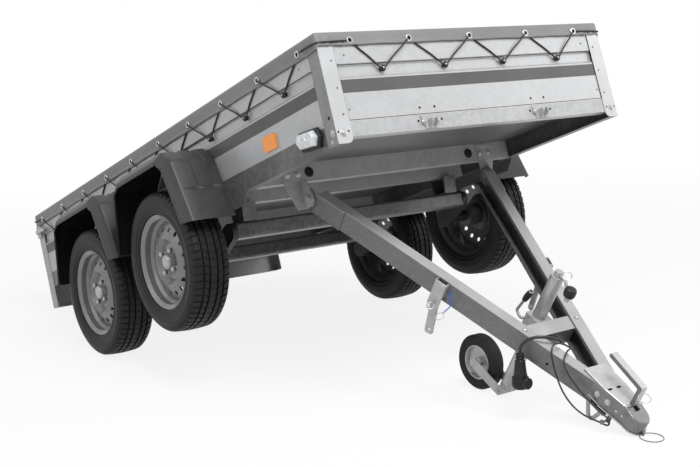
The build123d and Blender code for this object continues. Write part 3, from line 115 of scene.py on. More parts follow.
# Mesh building.
class Shape:
    """Mesh under construction in the coordinates of one local frame."""

    def __init__(self, place):
        self.place = place
        self.points = []
        self.faces = []

    def skin(self, rows, ring=False, loop=False):
        """Quads between rows of points; ring closes each row, loop joins the last row to the first."""
        start = len(self.points)
        count = len(rows[0])
        for row in rows:
            self.points += [Vector(point) for point in row]
        for i in range(len(rows) if loop else len(rows) - 1):
            low = start + i * count
            high = start + (i + 1) % len(rows) * count
            for j in range(count if ring else count - 1):
                k = (j + 1) % count
                self.faces.append((low + j, low + k, high + k, high + j))
        return start

    def close(self, start, rows, count):
        """Flat ends on a skin of closed rows."""
        last = start + (rows - 1) * count
        self.faces.append(tuple(range(start + count - 1, start - 1, -1)))
        self.faces.append(tuple(range(last, last + count)))

    def turned(self, profile, at, axis, sides):
        """Closed turned form of (radius, height) pairs along an axis from a point."""
        turn = Vector(axis).to_track_quat("Z", "Y").to_matrix()
        rows = []
        for radius, height in profile:
            ring = [(radius * math.cos(a), radius * math.sin(a), height) for a in angles(sides)]
            rows.append([Vector(at) + turn @ Vector(point) for point in ring])
        self.close(self.skin(rows, ring=True), len(rows), sides)

    def tube(self, line, radius, sides, loop=False):
        """Round bar along a line of points."""
        line = [Vector(point) for point in line]
        rows = []
        normal = None
        for i, point in enumerate(line):
            before = line[i - 1] if i or loop else point
            after = line[(i + 1) % len(line)] if loop or i + 1 < len(line) else point
            along = (after - before).normalized()
            normal = normal - along * normal.dot(along) if normal else along.orthogonal()
            normal.normalize()
            side = along.cross(normal)
            rows.append([point + (normal * math.cos(a) + side * math.sin(a)) * radius for a in angles(sides)])
        start = self.skin(rows, ring=True, loop=loop)
        if not loop:
            self.close(start, len(rows), sides)

    def slab(self, low, high, bevel, place=Matrix()):
        """Box between two corners with bevelled edges."""
        low = Vector(low)
        size = Vector(high) - low
        solid = bmesh.new()
        bmesh.ops.create_cube(solid, size=1.0)
        for vert in solid.verts:
            vert.co = Vector(((vert.co[i] + 0.5) * size[i] + low[i]) for i in range(3))
        bmesh.ops.bevel(solid, geom=solid.edges[:], offset=bevel, segments=2, profile=0.5, affect="EDGES")
        solid.verts.index_update()
        start = len(self.points)
        self.points += [place @ vert.co for vert in solid.verts]
        self.faces += [tuple(start + vert.index for vert in one.verts) for one in solid.faces]
        solid.free()

    def rivet(self, at, axis, radius=0.005, height=0.0022):
        """Domed head."""
        self.turned([(radius, -0.0006), (radius, height * 0.3), (radius * 0.75, height * 0.8),
                     (radius * 0.3, height)], at, axis, 12)

    def bolt(self, at, axis, radius=0.008, height=0.006, washer=1.7):
        """Hexagon head on a washer."""
        self.turned([(radius * washer, -0.0005), (radius * washer, 0.0012), (radius * washer * 0.94, 0.0016)],
                    at, axis, 20)
        self.turned([(radius, 0.001), (radius, height), (radius * 0.8, height + 0.0008)], at, axis, 6)

    def ring(self, at, axis, size, wire, sides=8, points=32):
        """Closed wire ring, size being its two half widths along the axes across it."""
        turn = Vector(axis).to_track_quat("Z", "Y").to_matrix()
        line = [(size[0] * math.cos(a), size[1] * math.sin(a), 0) for a in angles(points)]
        self.tube([Vector(at) + turn @ Vector(point) for point in line], wire, sides, loop=True)

    def piece(self, name, material, body, slot, smooth=38.0, replaces=()):
        """The finished object, riding on a body."""
        mesh = bpy.data.meshes.new(name)
        mesh.from_pydata([self.place @ point for point in self.points], [], self.faces)
        welded = bmesh.new()
        welded.from_mesh(mesh)
        bmesh.ops.remove_doubles(welded, verts=welded.verts[:], dist=0.00001)
        bmesh.ops.recalc_face_normals(welded, faces=welded.faces[:])
        welded.to_mesh(mesh)
        welded.free()
        mesh.polygons.foreach_set("use_smooth", [True] * len(mesh.polygons))
        mesh.set_sharp_from_angle(angle=math.radians(smooth))
        mesh.materials.append(material)
        thing = bpy.data.objects.new(name, mesh)
        bpy.context.scene.collection.objects.link(thing)
        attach(thing, body)
        if replaces:
            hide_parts(*replaces)
        return thing


def angles(count):
    return [2 * math.pi * index / count for index in range(count)]


def blend(a, b, share):
    return a + (b - a) * share


def steps(low, high, count):
    """Evenly spaced values from low to high."""
    return [blend(low, high, index / (count - 1)) for index in range(count)]


def ease(value):
    """Soft step from 0 to 1."""
    value = min(max(value, 0.0), 1.0)
    return value * value * (3 - 2 * value)


def mirrored(points):
    """Points on the other side of the trailer."""
    return [(x, -y, z) for x, y, z in points]


# Materials: colour and roughness wander with noise, in the coordinates of the bed or the drawbar.
def shader(name):
    material = bpy.data.materials.new(name)
    material.use_nodes = True
    return material, material.node_tree


def feed(tree, socket, value):
    """Link another socket to an input, or set the input to a plain value."""
    if isinstance(value, bpy.types.NodeSocket):
        tree.links.new(value, socket)
    else:
        socket.default_value = value


def node(tree, kind, **values):
    """New shader node of a kind, with the named inputs fed."""
    made = tree.nodes.new("ShaderNode" + kind)
    for name, value in values.items():
        feed(tree, made.inputs[name.replace("_", " ")], value)
    return made


def math_node(tree, operation, *values):
    """Output of a math node."""
    made = node(tree, "Math")
    made.operation = operation
    for socket, value in zip(made.inputs, values):
        feed(tree, socket, value)
    return made.outputs["Value"]


def ramp_colour(tree, factor, dark, light):
    """Colour between two, over the middle of a factor's range."""
    ramp = node(tree, "ValToRGB", Fac=factor)
    for mark, position, colour in zip(ramp.color_ramp.elements, (0.3, 0.7), (dark, light)):
        mark.position = position
        mark.color = (*colour, 1)
    return ramp.outputs["Color"]


# Places of the two values and of the result among a mix node's sockets.
MIX_SOCKETS = {"FLOAT": (2, 3, 0), "RGBA": (6, 7, 2)}


def mixed(tree, kind, factor, first, second):
    """Output of a mix node for numbers or colours."""
    made = node(tree, "Mix")
    made.data_type = kind
    first_at, second_at, result_at = MIX_SOCKETS[kind]
    for index, value in ((0, factor), (first_at, first), (second_at, second)):
        feed(tree, made.inputs[index], value)
    return made.outputs[result_at]


def surface(name, dark, light, rough, metal=0.0, scale=20.0, bump=0.1, bump_scale=200.0, coat=0.0, cells=0.0,
            place=BED, stretch=(1, 1, 1), specular=0.5, distance=0.001, print_and_light_bands=(), weave=0.0):
    """Principled material with noise, and optionally spangled cells, bands between two places (printed stripes,
    and painted light and shade) or a weave.
    """
    material, tree = shader(name)
    spot = node(tree, "TexCoord").outputs["Object"]
    mapping = node(tree, "Mapping", Vector=spot, Location=place.translation, Rotation=place.to_euler())
    mapping.vector_type = "TEXTURE"
    local = mapping.outputs["Vector"]
    wide = node(tree, "Mapping", Vector=local, Scale=stretch).outputs["Vector"]
    noise = node(tree, "TexNoise", Vector=wide, Scale=scale, Detail=6.0).outputs["Fac"]
    factor = noise
    if cells:
        spangle = node(tree, "TexVoronoi", Vector=wide, Scale=cells)
        part = node(tree, "SeparateColor", Color=spangle.outputs["Color"])
        factor = mixed(tree, "FLOAT", 0.3, noise, part.outputs["Red"])
    colour = ramp_colour(tree, factor, dark, light)
    shine = node(tree, "MapRange", Value=factor, To_Min=rough[0], To_Max=rough[1])
    for axis, low, high, dim, pale, bare in print_and_light_bands:
        where = node(tree, "SeparateXYZ", Vector=local).outputs[axis]
        above = math_node(tree, "GREATER_THAN", where, low)
        inside = math_node(tree, "MULTIPLY", above, math_node(tree, "LESS_THAN", where, high))
        colour = mixed(tree, "RGBA", inside, colour, ramp_colour(tree, noise, dim, pale))
        if not bare:
            metal = node(tree, "MapRange", Value=inside, To_Min=metal, To_Max=0.0).outputs["Result"]
    height = node(tree, "TexNoise", Vector=wide, Scale=bump_scale).outputs["Fac"]
    if weave:
        threads = []
        for direction in ("X", "Y"):
            wave = node(tree, "TexWave", Vector=local, Scale=weave)
            wave.bands_direction = direction
            threads.append(wave.outputs["Fac"])
        height = math_node(tree, "ADD", *threads)
    relief = node(tree, "Bump", Height=height, Strength=bump, Distance=distance)
    values = {"Base Color": colour, "Roughness": shine.outputs["Result"], "Metallic": metal,
              "Coat Weight": coat, "Specular IOR Level": specular, "Normal": relief.outputs["Normal"]}
    for socket, value in values.items():
        feed(tree, tree.nodes["Principled BSDF"].inputs[socket], value)
    return material


def grey(value, warm=0.0):
    return (value * (1 + warm), value, value * (1 - warm))


def cool(value):
    """Grey with a trace of blue."""
    return grey(value, -0.01)


# Bands of print and of painted light: axis, from, to, darkest and palest colour, and whether the metal stays bare.
STRIPE_PAINT = [("Z", *STRIPE, cool(0.085), cool(0.105), False)]
# Painted light: the front posts' front faces pale, their side faces dark as painted shade.
POST_FACE_PAINTED_LIGHT = [("X", -0.0026, 0.02, cool(0.44), cool(0.52), True)]
# Painted light: the drawbar rails' top flanges pale, their webs dark as painted shade.
RAIL_FLANGE_PAINTED_LIGHT = [("Z", RAIL_TOP - 0.0022, 0.08, cool(0.36), cool(0.44), True)]
# Painted light: the drawbar bridge's top face pale, its sides dark as painted shade.
BRIDGE_FACE_PAINTED_LIGHT = [("Z", BRIDGE_TOP - 0.0008, 0.08, cool(0.40), cool(0.48), True)]
# Painted highlights: the coupling's top face and the lip along its lower edge pale, its sides dark as painted
# shade.
COUPLING_PAINTED_HIGHLIGHTS = [("Z", COUPLING_TOP - 0.002, 0.06, grey(0.44), grey(0.54), True),
                  ("Z", NOSE_UNDER - 0.0002, NOSE_UNDER + NOSE_LIP_HIGHLIGHT, grey(0.44), grey(0.54), True)]
# Painted light: the handle pale between its side faces, its sides dark as painted shade.
HANDLE_FACE_PAINTED_LIGHT = [("Y", 0.0009 - HANDLE_SIDE, HANDLE_SIDE - 0.0009, grey(0.44), grey(0.54), True)]
# Painted shade: the rims' inner halves, barrel and back of the disc, painted dark so the vents look dark.
RIM_INSIDE_PAINTED_SHADE = [("Y", -RIM_BACK, RIM_BACK, grey(0.08), grey(0.11), True)]
SPANGLED = dict(scale=7.0, bump=0.04, bump_scale=90.0, cells=70.0)
GALVANISED = dict(rough=(0.3, 0.46), metal=0.4, **SPANGLED)
MATT_ZINC = dict(rough=(0.3, 0.44), metal=0.12, **SPANGLED)
DRAW_ZINC = dict(MATT_ZINC, place=DRAW)
ZINC_PLATE = dict(rough=(0.18, 0.32), metal=0.3, scale=24.0, bump=0.05, bump_scale=300.0, place=DRAW)
mats = {
    "galvanised": surface("galvanised_steel", cool(0.34), cool(0.42), **MATT_ZINC),
    "wall_sheet": surface("striped_galvanised_sheet", cool(0.42), cool(0.46), print_and_light_bands=STRIPE_PAINT,
                          specular=0.22, **GALVANISED),
    # Painted light and shade on the front posts: dark zinc with pale front faces.
    "post_painted_light_and_shade": surface("post_galvanised_painted_light_and_shade", cool(0.2), cool(0.25), print_and_light_bands=POST_FACE_PAINTED_LIGHT, **MATT_ZINC),
    # Painted light and shade on the drawbar: dark zinc with pale top flanges.
    "draw_galvanised": surface("drawbar_galvanised_painted_light_and_shade", cool(0.13), cool(0.17), print_and_light_bands=RAIL_FLANGE_PAINTED_LIGHT, **DRAW_ZINC),
    # Painted light and shade on the drawbar bridge: dark zinc with a pale top face.
    "bridge_painted_light_and_shade": surface("bridge_painted_light_and_shade", cool(0.13), cool(0.17), print_and_light_bands=BRIDGE_FACE_PAINTED_LIGHT, **DRAW_ZINC),
    # Painted shade: the frame, axles and mudguard plates under the bed are a darker copy of the galvanised steel.
    "under_frame_painted_shade": surface("frame_galvanised_painted_shade", cool(0.09), cool(0.15), **GALVANISED),
    # Painted light and shade on the coupling: dark zinc with a pale top and a pale lower lip.
    "coupling_painted_light_and_shade": surface("coupling_painted_light_and_shade", grey(0.15), grey(0.21), print_and_light_bands=COUPLING_PAINTED_HIGHLIGHTS, **ZINC_PLATE),
    # Painted light and shade on the coupling handle: dark zinc, pale between its sides.
    "handle_painted_light_and_shade": surface("handle_painted_light_and_shade", grey(0.12), grey(0.18), print_and_light_bands=HANDLE_FACE_PAINTED_LIGHT, **ZINC_PLATE),
    "zinc": surface("zinc_plate", grey(0.36), grey(0.48), **ZINC_PLATE),
    "floor_board": surface("film_faced_board", grey(0.08), grey(0.11), (0.35, 0.5), scale=14.0, bump=0.12,
                           bump_scale=420.0, stretch=(0.2, 1, 1)),
    "cover_sheet": surface("coated_sheet", cool(0.16), cool(0.2), (0.42, 0.58), scale=5.0, bump=0.12,
                           bump_scale=700.0, weave=180.0, distance=0.0004),
    "guard_plastic": surface("guard_plastic", cool(0.027), cool(0.037), (0.36, 0.48), scale=30.0, bump=0.14,
                             bump_scale=900.0, distance=0.0005, specular=0.35),
    "black_plastic": surface("black_plastic", grey(0.008), grey(0.014), (0.35, 0.5), scale=40.0,
                             bump_scale=900.0, specular=0.3),
    "black_rubber": surface("black_rubber", grey(0.009), grey(0.018), (0.5, 0.7), scale=30.0, bump=0.15,
                            bump_scale=500.0, place=DRAW, specular=0.2),
    "tyre": surface("tyre_rubber", grey(0.007), grey(0.014), (0.42, 0.6), scale=16.0, bump=0.18,
                    bump_scale=700.0, distance=0.0006, specular=0.22),
    # Silver rims with painted shade on their inner halves.
    "wheel_silver": surface("wheel_silver", grey(0.17), grey(0.21), (0.28, 0.4), 0.3, scale=26.0, bump=0.05,
                            bump_scale=500.0, coat=0.2, print_and_light_bands=RIM_INSIDE_PAINTED_SHADE),
    "hub_black": surface("hub_black", grey(0.018), grey(0.04), (0.4, 0.6), 0.2, scale=30.0, bump=0.2,
                         bump_scale=300.0),
    "red_lens": surface("red_lens", (0.35, 0.008, 0.008), (0.5, 0.015, 0.012), (0.08, 0.16), scale=60.0,
                        bump=0.2, bump_scale=260.0, coat=0.6),
    "clear_lens": surface("clear_lens", grey(0.55, -0.03), grey(0.78, -0.03), (0.06, 0.14), 0.1, scale=90.0,
                          bump=0.3, bump_scale=240.0, coat=0.7),
    "amber_lens": surface("amber_lens", (0.84, 0.23, 0.002), (0.96, 0.33, 0.004), (0.12, 0.22), scale=200.0,
                          bump=0.4, bump_scale=360.0, coat=0.5),
    "cable_black": surface("cable_black", grey(0.01), grey(0.02), (0.35, 0.5), scale=60.0, bump_scale=700.0,
                           place=DRAW),
    "cable_blue": surface("cable_blue", (0.004, 0.09, 0.52), (0.008, 0.15, 0.74), (0.28, 0.4), scale=80.0,
                          bump_scale=700.0, place=DRAW),
    "elastic": surface("braided_elastic", grey(0.008), grey(0.022), (0.6, 0.8), scale=220.0, bump=0.6,
                       bump_scale=420.0),
    "bright_steel": surface("bright_steel", grey(0.5), grey(0.62), (0.14, 0.26), 0.7, scale=40.0, bump=0.03,
                            bump_scale=300.0),
    "dark_steel": surface("dark_fastener", grey(0.09), grey(0.16), (0.35, 0.55), 0.7, scale=60.0,
                          bump_scale=400.0),
    # Painted shade: near black, for the shade in holes, slots, eyelet mouths, gaps and under the mudguards.
    "painted_shade": surface("hole_shadow", grey(0.006), grey(0.01), (0.8, 0.9), scale=30.0, bump_scale=300.0,
                    specular=0.1),
}
slot_of = {entry["node"]: entry["material_slot"] for entry in frame["record"]["subparts"]}
WALLS = ("wall_left", "wall_right", "wall_front", "tailgate")
# Parts painted dark with pale faces where the light falls: painted light and shade.
FACED = {"corner_posts_front": "post_painted_light_and_shade", "drawbar_bridge": "bridge_painted_light_and_shade",
         "coupling_body": "coupling_painted_light_and_shade", "coupling_handle": "handle_painted_light_and_shade"}
# Parts under the bed get the darker copy of the galvanised steel: painted shade.
UNDERSIDE_PAINTED_SHADE = ("frame_side_rails", "axle_beams", "axle_brackets", "mudguard_plates")
for name, thing in nodes.items():
    finish = slot_of[name]
    if name in WALLS:
        finish = "wall_sheet"
    elif name in FACED:
        finish = FACED[name]
    elif name.startswith("hub_"):
        finish = "dark_steel"
    elif name in UNDERSIDE_PAINTED_SHADE:
        finish = "under_frame_painted_shade"
    # The drawbar's galvanised parts get dark zinc with pale top flanges: painted light and shade.
    elif name.startswith("drawbar_") and finish == "galvanised":
        finish = "draw_galvanised"
    thing.data.materials.clear()
    thing.data.materials.append(mats[finish])


# Cover: one sheet with rolled edges, a skirt pulled down at its eyelets, and a hem.
SIDE_EYELETS = [EYELET_X - index * LACE_PITCH for index in range(10)]
SIDE_HOOKS = [HOOK_X - index * LACE_PITCH for index in range(9)]
inner_y = COVER_Y - COVER_ROLL
inner_front = COVER_FRONT - COVER_ROLL
inner_back = -BED_LENGTH - COVER_FRONT + COVER_ROLL


def fine_ended(start, end, count):
    """Values from start to end, closer together near the sheet's corners."""
    reach = math.copysign(CORNER, end - start)
    return (steps(start, start + reach, 25)[:-1] + steps(start + reach, end - reach, count)[:-1]
            + steps(end - reach, end, 25))


grid_x = fine_ended(inner_front, inner_back, 66)
grid_y = fine_ended(-inner_y, inner_y, 30)


def cover_top(x, y):
    """Height of the sheet: slack in four fields along the bed, pulled flat at the edges."""
    along = (inner_front - x) / (inner_front - inner_back)
    edge = min(EDGE_PULL, inner_y - abs(y), inner_front - x, x - inner_back) / EDGE_PULL
    sag = 0.0035 * math.sin(4 * math.pi * along) ** 2 + 0.002 * math.cos(3.1 * y + 11 * x) ** 2
    ripple = 0.0006 * math.sin(23 * x + 5 * y) + 0.0005 * math.sin(31 * y - 9 * x)
    return SHEET_TOP - ease(edge) * (sag + ripple + 0.0012)


cover = Shape(BED)
cover.skin([[(x, y, cover_top(x, y)) for y in grid_y] for x in grid_x])
rim = [((x, inner_y), (0, 1)) for x in grid_x]
corner = [(math.sin(a), math.cos(a)) for a in steps(0, math.pi / 2, 7)]
rim += [((inner_back, inner_y), (-out, side)) for out, side in corner[1:-1]]
rim += [((inner_back, y), (-1, 0)) for y in grid_y[::-1]]
rim += [((inner_back, -inner_y), (-out, -side)) for out, side in corner[1:-1][::-1]]
rim += [((x, -inner_y), (0, -1)) for x in grid_x[::-1]]
rim += [((inner_front, -inner_y), (out, -side)) for out, side in corner[1:-1]]
rim += [((inner_front, y), (1, 0)) for y in grid_y]
rim += [((inner_front, inner_y), (out, side)) for out, side in corner[1:-1][::-1]]


def slack(x, y, side):
    """How far the skirt is from its nearest eyelet, from 0 at one to 1 midway between two."""
    spots = SIDE_EYELETS if side else FRONT_EYELETS
    value = x if side else y
    return min(1.0, min(abs(value - spot) for spot in spots) / (LACE_PITCH / 2))


def crease(x, y, low):
    """Folds in the skirt beside a corner of the sheet, leaning as they come down."""
    away = min(abs(x - inner_front), abs(x - inner_back)) + inner_y - abs(y)
    total = 0.0
    for place, lean, deep in CREASES:
        total += deep * math.exp(-((away - place - lean * low) / CREASE_HALF) ** 2)
    return total


skirt = [[] for _ in range(12)]
for (x, y), (ox, oy) in rim:
    loose = slack(x, y, abs(oy) > 0.7)
    wave = 0.0008 * math.sin(61 * x + 47 * y) + 0.0012 * loose
    edge = COVER_EDGE - COVER_DEEPER * ease(abs(oy))
    low = edge + 0.002 * loose ** 2 + 0.0006 * math.sin(83 * (x + y))
    for row, turn in enumerate((0.0, 30.0, 60.0, 90.0)):
        out = COVER_ROLL * math.sin(math.radians(turn))
        drop = COVER_ROLL * (1 - math.cos(math.radians(turn)))
        skirt[row].append((x + ox * out, y + oy * out, SHEET_TOP - drop))
    shoulder = COVER_TOP - COVER_ROLL
    hem = low + HEM
    for row, (height, reach) in enumerate((
        (blend(shoulder, hem, 0.35), wave * 0.5), (blend(shoulder, hem, 0.75), wave), (hem + 0.001, wave),
        (hem, wave + 0.0009), (low + 0.001, wave + 0.0009), (low, wave + 0.0003), (low, wave - 0.0012),
        (hem, wave - 0.0016),
    )):
        reach += COVER_ROLL + crease(x, y, shoulder - height)
        skirt[row + 4].append((x + ox * reach, y + oy * reach, height))
cover.skin(skirt, ring=True)
cover_piece = cover.piece("cover_sheet", mats["cover_sheet"], "bed", "cover_sheet", 60, ["cover"])

# Eyelets in the skirt, hooks in the groove, and the elastic that is laced between them.
eyelets = Shape(BED)
EYELET = [(0.0125, -0.002), (0.0125, 0.0012), (0.0112, 0.0024), (0.0082, 0.0022), (0.0070, 0.0006)]
# Painted shade: a dark disc in each eyelet's mouth.
EYELET_MOUTH = [(0.0070, 0.0004), (0.0070, 0.0011), (0.0060, 0.0013)]
mouth_shades = Shape(BED)


def eyelet(at, axis):
    eyelets.turned(EYELET, at, axis, 20)
    mouth_shades.turned(EYELET_MOUTH, at, axis, 16)


hooks = Shape(BED)
HOOK = [(0.0085, 0.0), (0.0085, 0.003), (0.0055, 0.0045), (0.0055, 0.0095), (0.0105, 0.0125),
        (0.0105, 0.0145), (0.0085, 0.0165), (0.004, 0.0172)]
EYELET_PROUD = 0.0012
HOOK_SEAT = GROOVE_Y - 0.0003
for side in (1, -1):
    for x in SIDE_EYELETS:
        eyelet((x, side * (COVER_Y + EYELET_PROUD), SIDE_EYELET_Z), (0, side, 0))
    for x in SIDE_HOOKS:
        hooks.turned(HOOK, (x, side * HOOK_SEAT, HOOK_Z), (0, side, 0), 18)
for y in FRONT_EYELETS:
    eyelet((COVER_FRONT + EYELET_PROUD, y, EYELET_Z), (1, 0, 0))
    eyelet((-BED_LENGTH - COVER_FRONT - EYELET_PROUD, y, EYELET_Z), (-1, 0, 0))
for y in FRONT_HOOKS:
    hooks.turned(HOOK, (HOOK_SEAT - OUTER_Y, y, HOOK_Z), (1, 0, 0), 18)
eyelet_piece = eyelets.piece("cover_eyelets", mats["bright_steel"], "bed", "zinc")
mouth_shades.piece("eyelet_mouth_shades", mats["painted_shade"], "bed", "black_plastic")
hooks.piece("lacing_hooks", mats["black_plastic"], "bed", "black_plastic", 40, ["lacing_buttons"])

LACE_IN = COVER_Y - 0.0005
WRAP_OUT = 0.0013
WRAP_RADIUS = 0.0092
WRAP_TURN = 1.75
BEND_SHARE = 0.62


def leg(start, hook, out, high, over):
    """Elastic from an eyelet to a hook, over the skirt or behind it: along, out from the side, up."""
    on_wall = out + LACE + 0.0002
    clear = COVER_Y + LACE + 0.0016 if over else on_wall
    low = COVER_EDGE - COVER_DEEPER
    bend = blend(high, HOOK_Z, BEND_SHARE)
    straight = blend(clear, out + WRAP_OUT, (bend - low) / (HOOK_Z - low))
    return [(start, LACE_IN, high), (blend(start, hook, 0.1), clear, high - 0.008),
            (blend(start, hook, (high - low) / (high - HOOK_Z)), clear, low),
            (blend(start, hook, BEND_SHARE), max(straight, on_wall), bend)]


def round_hook(hook, sign, out):
    """Elastic round the underside of a hook."""
    return [(hook + sign * WRAP_RADIUS * math.sin(a), out + WRAP_OUT, HOOK_Z - WRAP_RADIUS * math.cos(a))
            for a in steps(WRAP_TURN, -WRAP_TURN, 9)]


def laced(eyelet_spots, hook_spots, out, high, over):
    """Zigzag of (along, out, up) through eyelets and round hooks, the first legs over the skirt or behind."""
    line = []
    for start, hook, end in zip(eyelet_spots, hook_spots, eyelet_spots[1:]):
        sign = 1 if start > end else -1
        line += leg(start, hook, out, high, over) + round_hook(hook, sign, out)
        line += leg(end, hook, out, high, not over)[:0:-1]
    return line + [(eyelet_spots[-1], LACE_IN, high)]


reach = COVER_Y + LACE + 0.0012
front_reach = COVER_FRONT + LACE + 0.0012
left_side = laced(SIDE_EYELETS, SIDE_HOOKS, SKIN_Y, SIDE_EYELET_Z, False)[::-1]
right_side = mirrored(left_side[::-1])
front = [(out - OUTER_Y, along, up)
         for along, out, up in laced(FRONT_EYELETS, FRONT_HOOKS, SKIN_Y, EYELET_Z, True)]
round_corner = [(front_reach - 0.001, -0.56, EYELET_Z - 0.002), (front_reach, -0.625, EYELET_Z - 0.004),
                (front_reach - 0.004, -reach + 0.004, EYELET_Z - 0.005), (-0.02, -reach, EYELET_Z - 0.004),
                (-0.07, -reach + 0.001, SIDE_EYELET_Z + 0.002)]
back_x = -BED_LENGTH - front_reach
rear = [(-2.56, -reach, SIDE_EYELET_Z), (back_x + 0.01, -reach, EYELET_Z), (back_x, -reach + 0.01, EYELET_Z)]
for y in FRONT_EYELETS[::-1]:
    rear += [(back_x, y - 0.03, EYELET_Z), (back_x + 0.006, y, EYELET_Z), (back_x, y + 0.03, EYELET_Z)]
rear += mirrored(rear[2::-1])
circuit = front + round_corner + right_side + rear + left_side + mirrored(round_corner[::-1])
lace = Shape(BED)
lace.tube(circuit, LACE, 8, loop=True)
lace.piece("cover_lacing", mats["elastic"], "bed", "cable_black", 80)

# Wheels: tyres with grooved, notched tread and ringed sidewalls, and their fittings.
WHEELS = [(end, side) for side in ("left", "right") for end in ("front", "rear")]


def wheel_place(end, side):
    """Frame of a wheel: y outward along its axle."""
    sign = 1 if side == "left" else -1
    turn = Matrix.Rotation(0 if sign > 0 else math.pi, 4, "Z")
    return BED @ Matrix.Translation((WHEEL_X[end], sign * WHEEL_Y, WHEEL_Z)) @ turn


# Half section of a tyre as radius, offset from the middle, and how deep the notches cut there.
SIDEWALL = [
    (0.1802, 0.0695, 0), (0.1845, 0.0722, 0), (0.1885, 0.0728, 0), (0.1895, 0.0742, 0), (0.1925, 0.0744, 0),
    (0.1935, 0.0734, 0), (0.2020, 0.0757, 0), (0.2030, 0.0765, 0), (0.2050, 0.0766, 0), (0.2060, 0.0760, 0),
    (0.2170, 0.0776, 0), (0.2300, 0.0781, 0), (0.2310, 0.0774, 0), (0.2400, 0.0766, 0),
    (0.2460, 0.0750, 0.0005), (0.2500, 0.0732, 0.003), (0.2555, 0.0698, 0.0045), (0.2600, 0.0655, 0.005),
    (0.2632, 0.0608, 0.005),
]
# The tread between as offset, depth of the notches and depth of the grooves.
TREAD = [(0.0500, 0.005, 0), (0.0445, 0.004, 0), (0.0438, 0, 0.0075), (0.0372, 0, 0.0075), (0.0365, 0.003, 0),
         (0.0200, 0.003, 0), (0.0193, 0, 0.0075), (0.0127, 0, 0.0075), (0.0120, 0.002, 0)]
# One notch as share of a pitch and share of its depth.
NOTCH = ((0.0, 0), (0.07, 1), (0.2, 1), (0.27, 0))


def crown(offset):
    """Radius of the tread's crowned face."""
    return TYRE_R - 0.0042 * (offset / TREAD_HALF) ** 2


half_section = SIDEWALL + [(crown(offset) - depth, offset, notch) for offset, notch, depth in TREAD]
section = half_section + [(radius, -offset, notch) for radius, offset, notch in half_section[::-1]]
tread_columns = []
for pitch in range(TREAD_PITCHES):
    for share, deep in NOTCH:
        tread_columns.append((pitch + share, deep))


def tyre_column(turn, deep):
    """One section round the tyre; the ribs' notches lean, and alternate from rib to rib."""
    column = []
    for radius, offset, notch in section:
        lean = 6.0 * offset + (0.5 if abs(offset) < 0.022 else 0.0) + (0.25 if offset < 0 else 0.0)
        angle = 2 * math.pi * (turn + lean * (1 if notch else 0)) / TREAD_PITCHES
        reach = radius - notch * deep
        column.append((reach * math.cos(angle), offset, reach * math.sin(angle)))
    return column


VALVE_TURN = {"left": -42, "right": 222}
BOLT_AT = 0.050
DISC_OUT = 0.029
WHEEL_OUT = (0, 1, 0)
BOLT_SEAT = [(0.0145, -0.001), (0.0135, 0.004), (0.0112, 0.010)]
BOLT_HEAD = [(0.0104, 0.0165), (0.0104, 0.022), (0.0092, 0.0238)]
HUB_CAP = [(0.0292, 0.027), (0.0288, 0.046), (0.0278, 0.052), (0.0245, 0.0565), (0.018, 0.0592),
           (0.008, 0.0602)]
for end, side in WHEELS:
    tag = end + "_" + side
    body = "wheel_" + tag
    place = wheel_place(end, side)
    tyre = Shape(place)
    tyre.skin([tyre_column(turn, deep) for turn, deep in tread_columns], loop=True)
    tyre.piece("road_tyre_" + tag, mats["tyre"], body, "tyre", 32, ["tyre_" + tag])
    fittings = Shape(place)
    for quarter in range(4):
        turn = math.pi / 2 * (quarter + 0.5)
        at = (BOLT_AT * math.cos(turn), DISC_OUT, BOLT_AT * math.sin(turn))
        fittings.turned(BOLT_SEAT, at, WHEEL_OUT, 20)
        fittings.turned(BOLT_HEAD, at, WHEEL_OUT, 6)
    fittings.turned(HUB_CAP, (0, 0, 0), WHEEL_OUT, 32)
    fittings.piece("wheel_fittings_" + tag, mats["zinc"], body, "zinc")
    valve = Shape(place)
    lean = math.radians(VALVE_TURN[side])
    root = Vector((math.cos(lean), 0, math.sin(lean)))
    stem = [root * 0.140 + LEFT * 0.020, root * 0.138 + LEFT * 0.030, root * 0.131 + LEFT * 0.048]
    valve.tube(stem, 0.0046, 10)
    valve.turned([(0.0055, 0), (0.0055, 0.008), (0.0035, 0.010)], root * 0.1313 + LEFT * 0.046,
                 root * -0.35 + LEFT, 10)
    valve.piece("tyre_valve_" + tag, mats["black_rubber"], body, "black_rubber")

# Mudguards: a skin with two flutes, a bevelled outer edge and a side band that ends at the rear leg.
GUARD_FOOT = Vector((0.318, -0.065))
GUARD_SHOULDER = Vector((0.244, 0.176))
GUARD_CROWN = Vector((0.186, 0.222))
GUARD_BEND = 0.034
GUARD_WIDTH = 0.203
GUARD_BEVEL = 0.028
GUARD_SKIRT = 0.044
GUARD_WALL = 0.006
GUARD_OFF = 0.0004
FLUTES = (0.052, 0.114)
FLUTE_HALF = 0.013
FLUTE_DEPTH = 0.0045
FLUTE_END = 0.062
FLUTE_RIM = (0.001, -0.0016)


def guard_bend(before, at, after):
    """Arc points and outward normals that round one corner of the outline."""
    into = (at - before).normalized()
    away = (after - at).normalized()
    turn = into.angle(away)
    start = at - into * GUARD_BEND * math.tan(turn / 2)
    normal = Vector((into.y, -into.x))
    if normal.y < 0:
        normal = -normal
    centre = start - normal * GUARD_BEND
    first = math.atan2(normal.y, normal.x)
    return [(centre + Vector((math.cos(a), math.sin(a))) * GUARD_BEND, Vector((math.cos(a), math.sin(a))))
            for a in steps(first, first + turn, 7)]


middle = Vector((0.0, GUARD_CROWN.y))
bends = guard_bend(GUARD_FOOT, GUARD_SHOULDER, GUARD_CROWN) + guard_bend(GUARD_SHOULDER, GUARD_CROWN, middle)
leg_normal = bends[0][1]


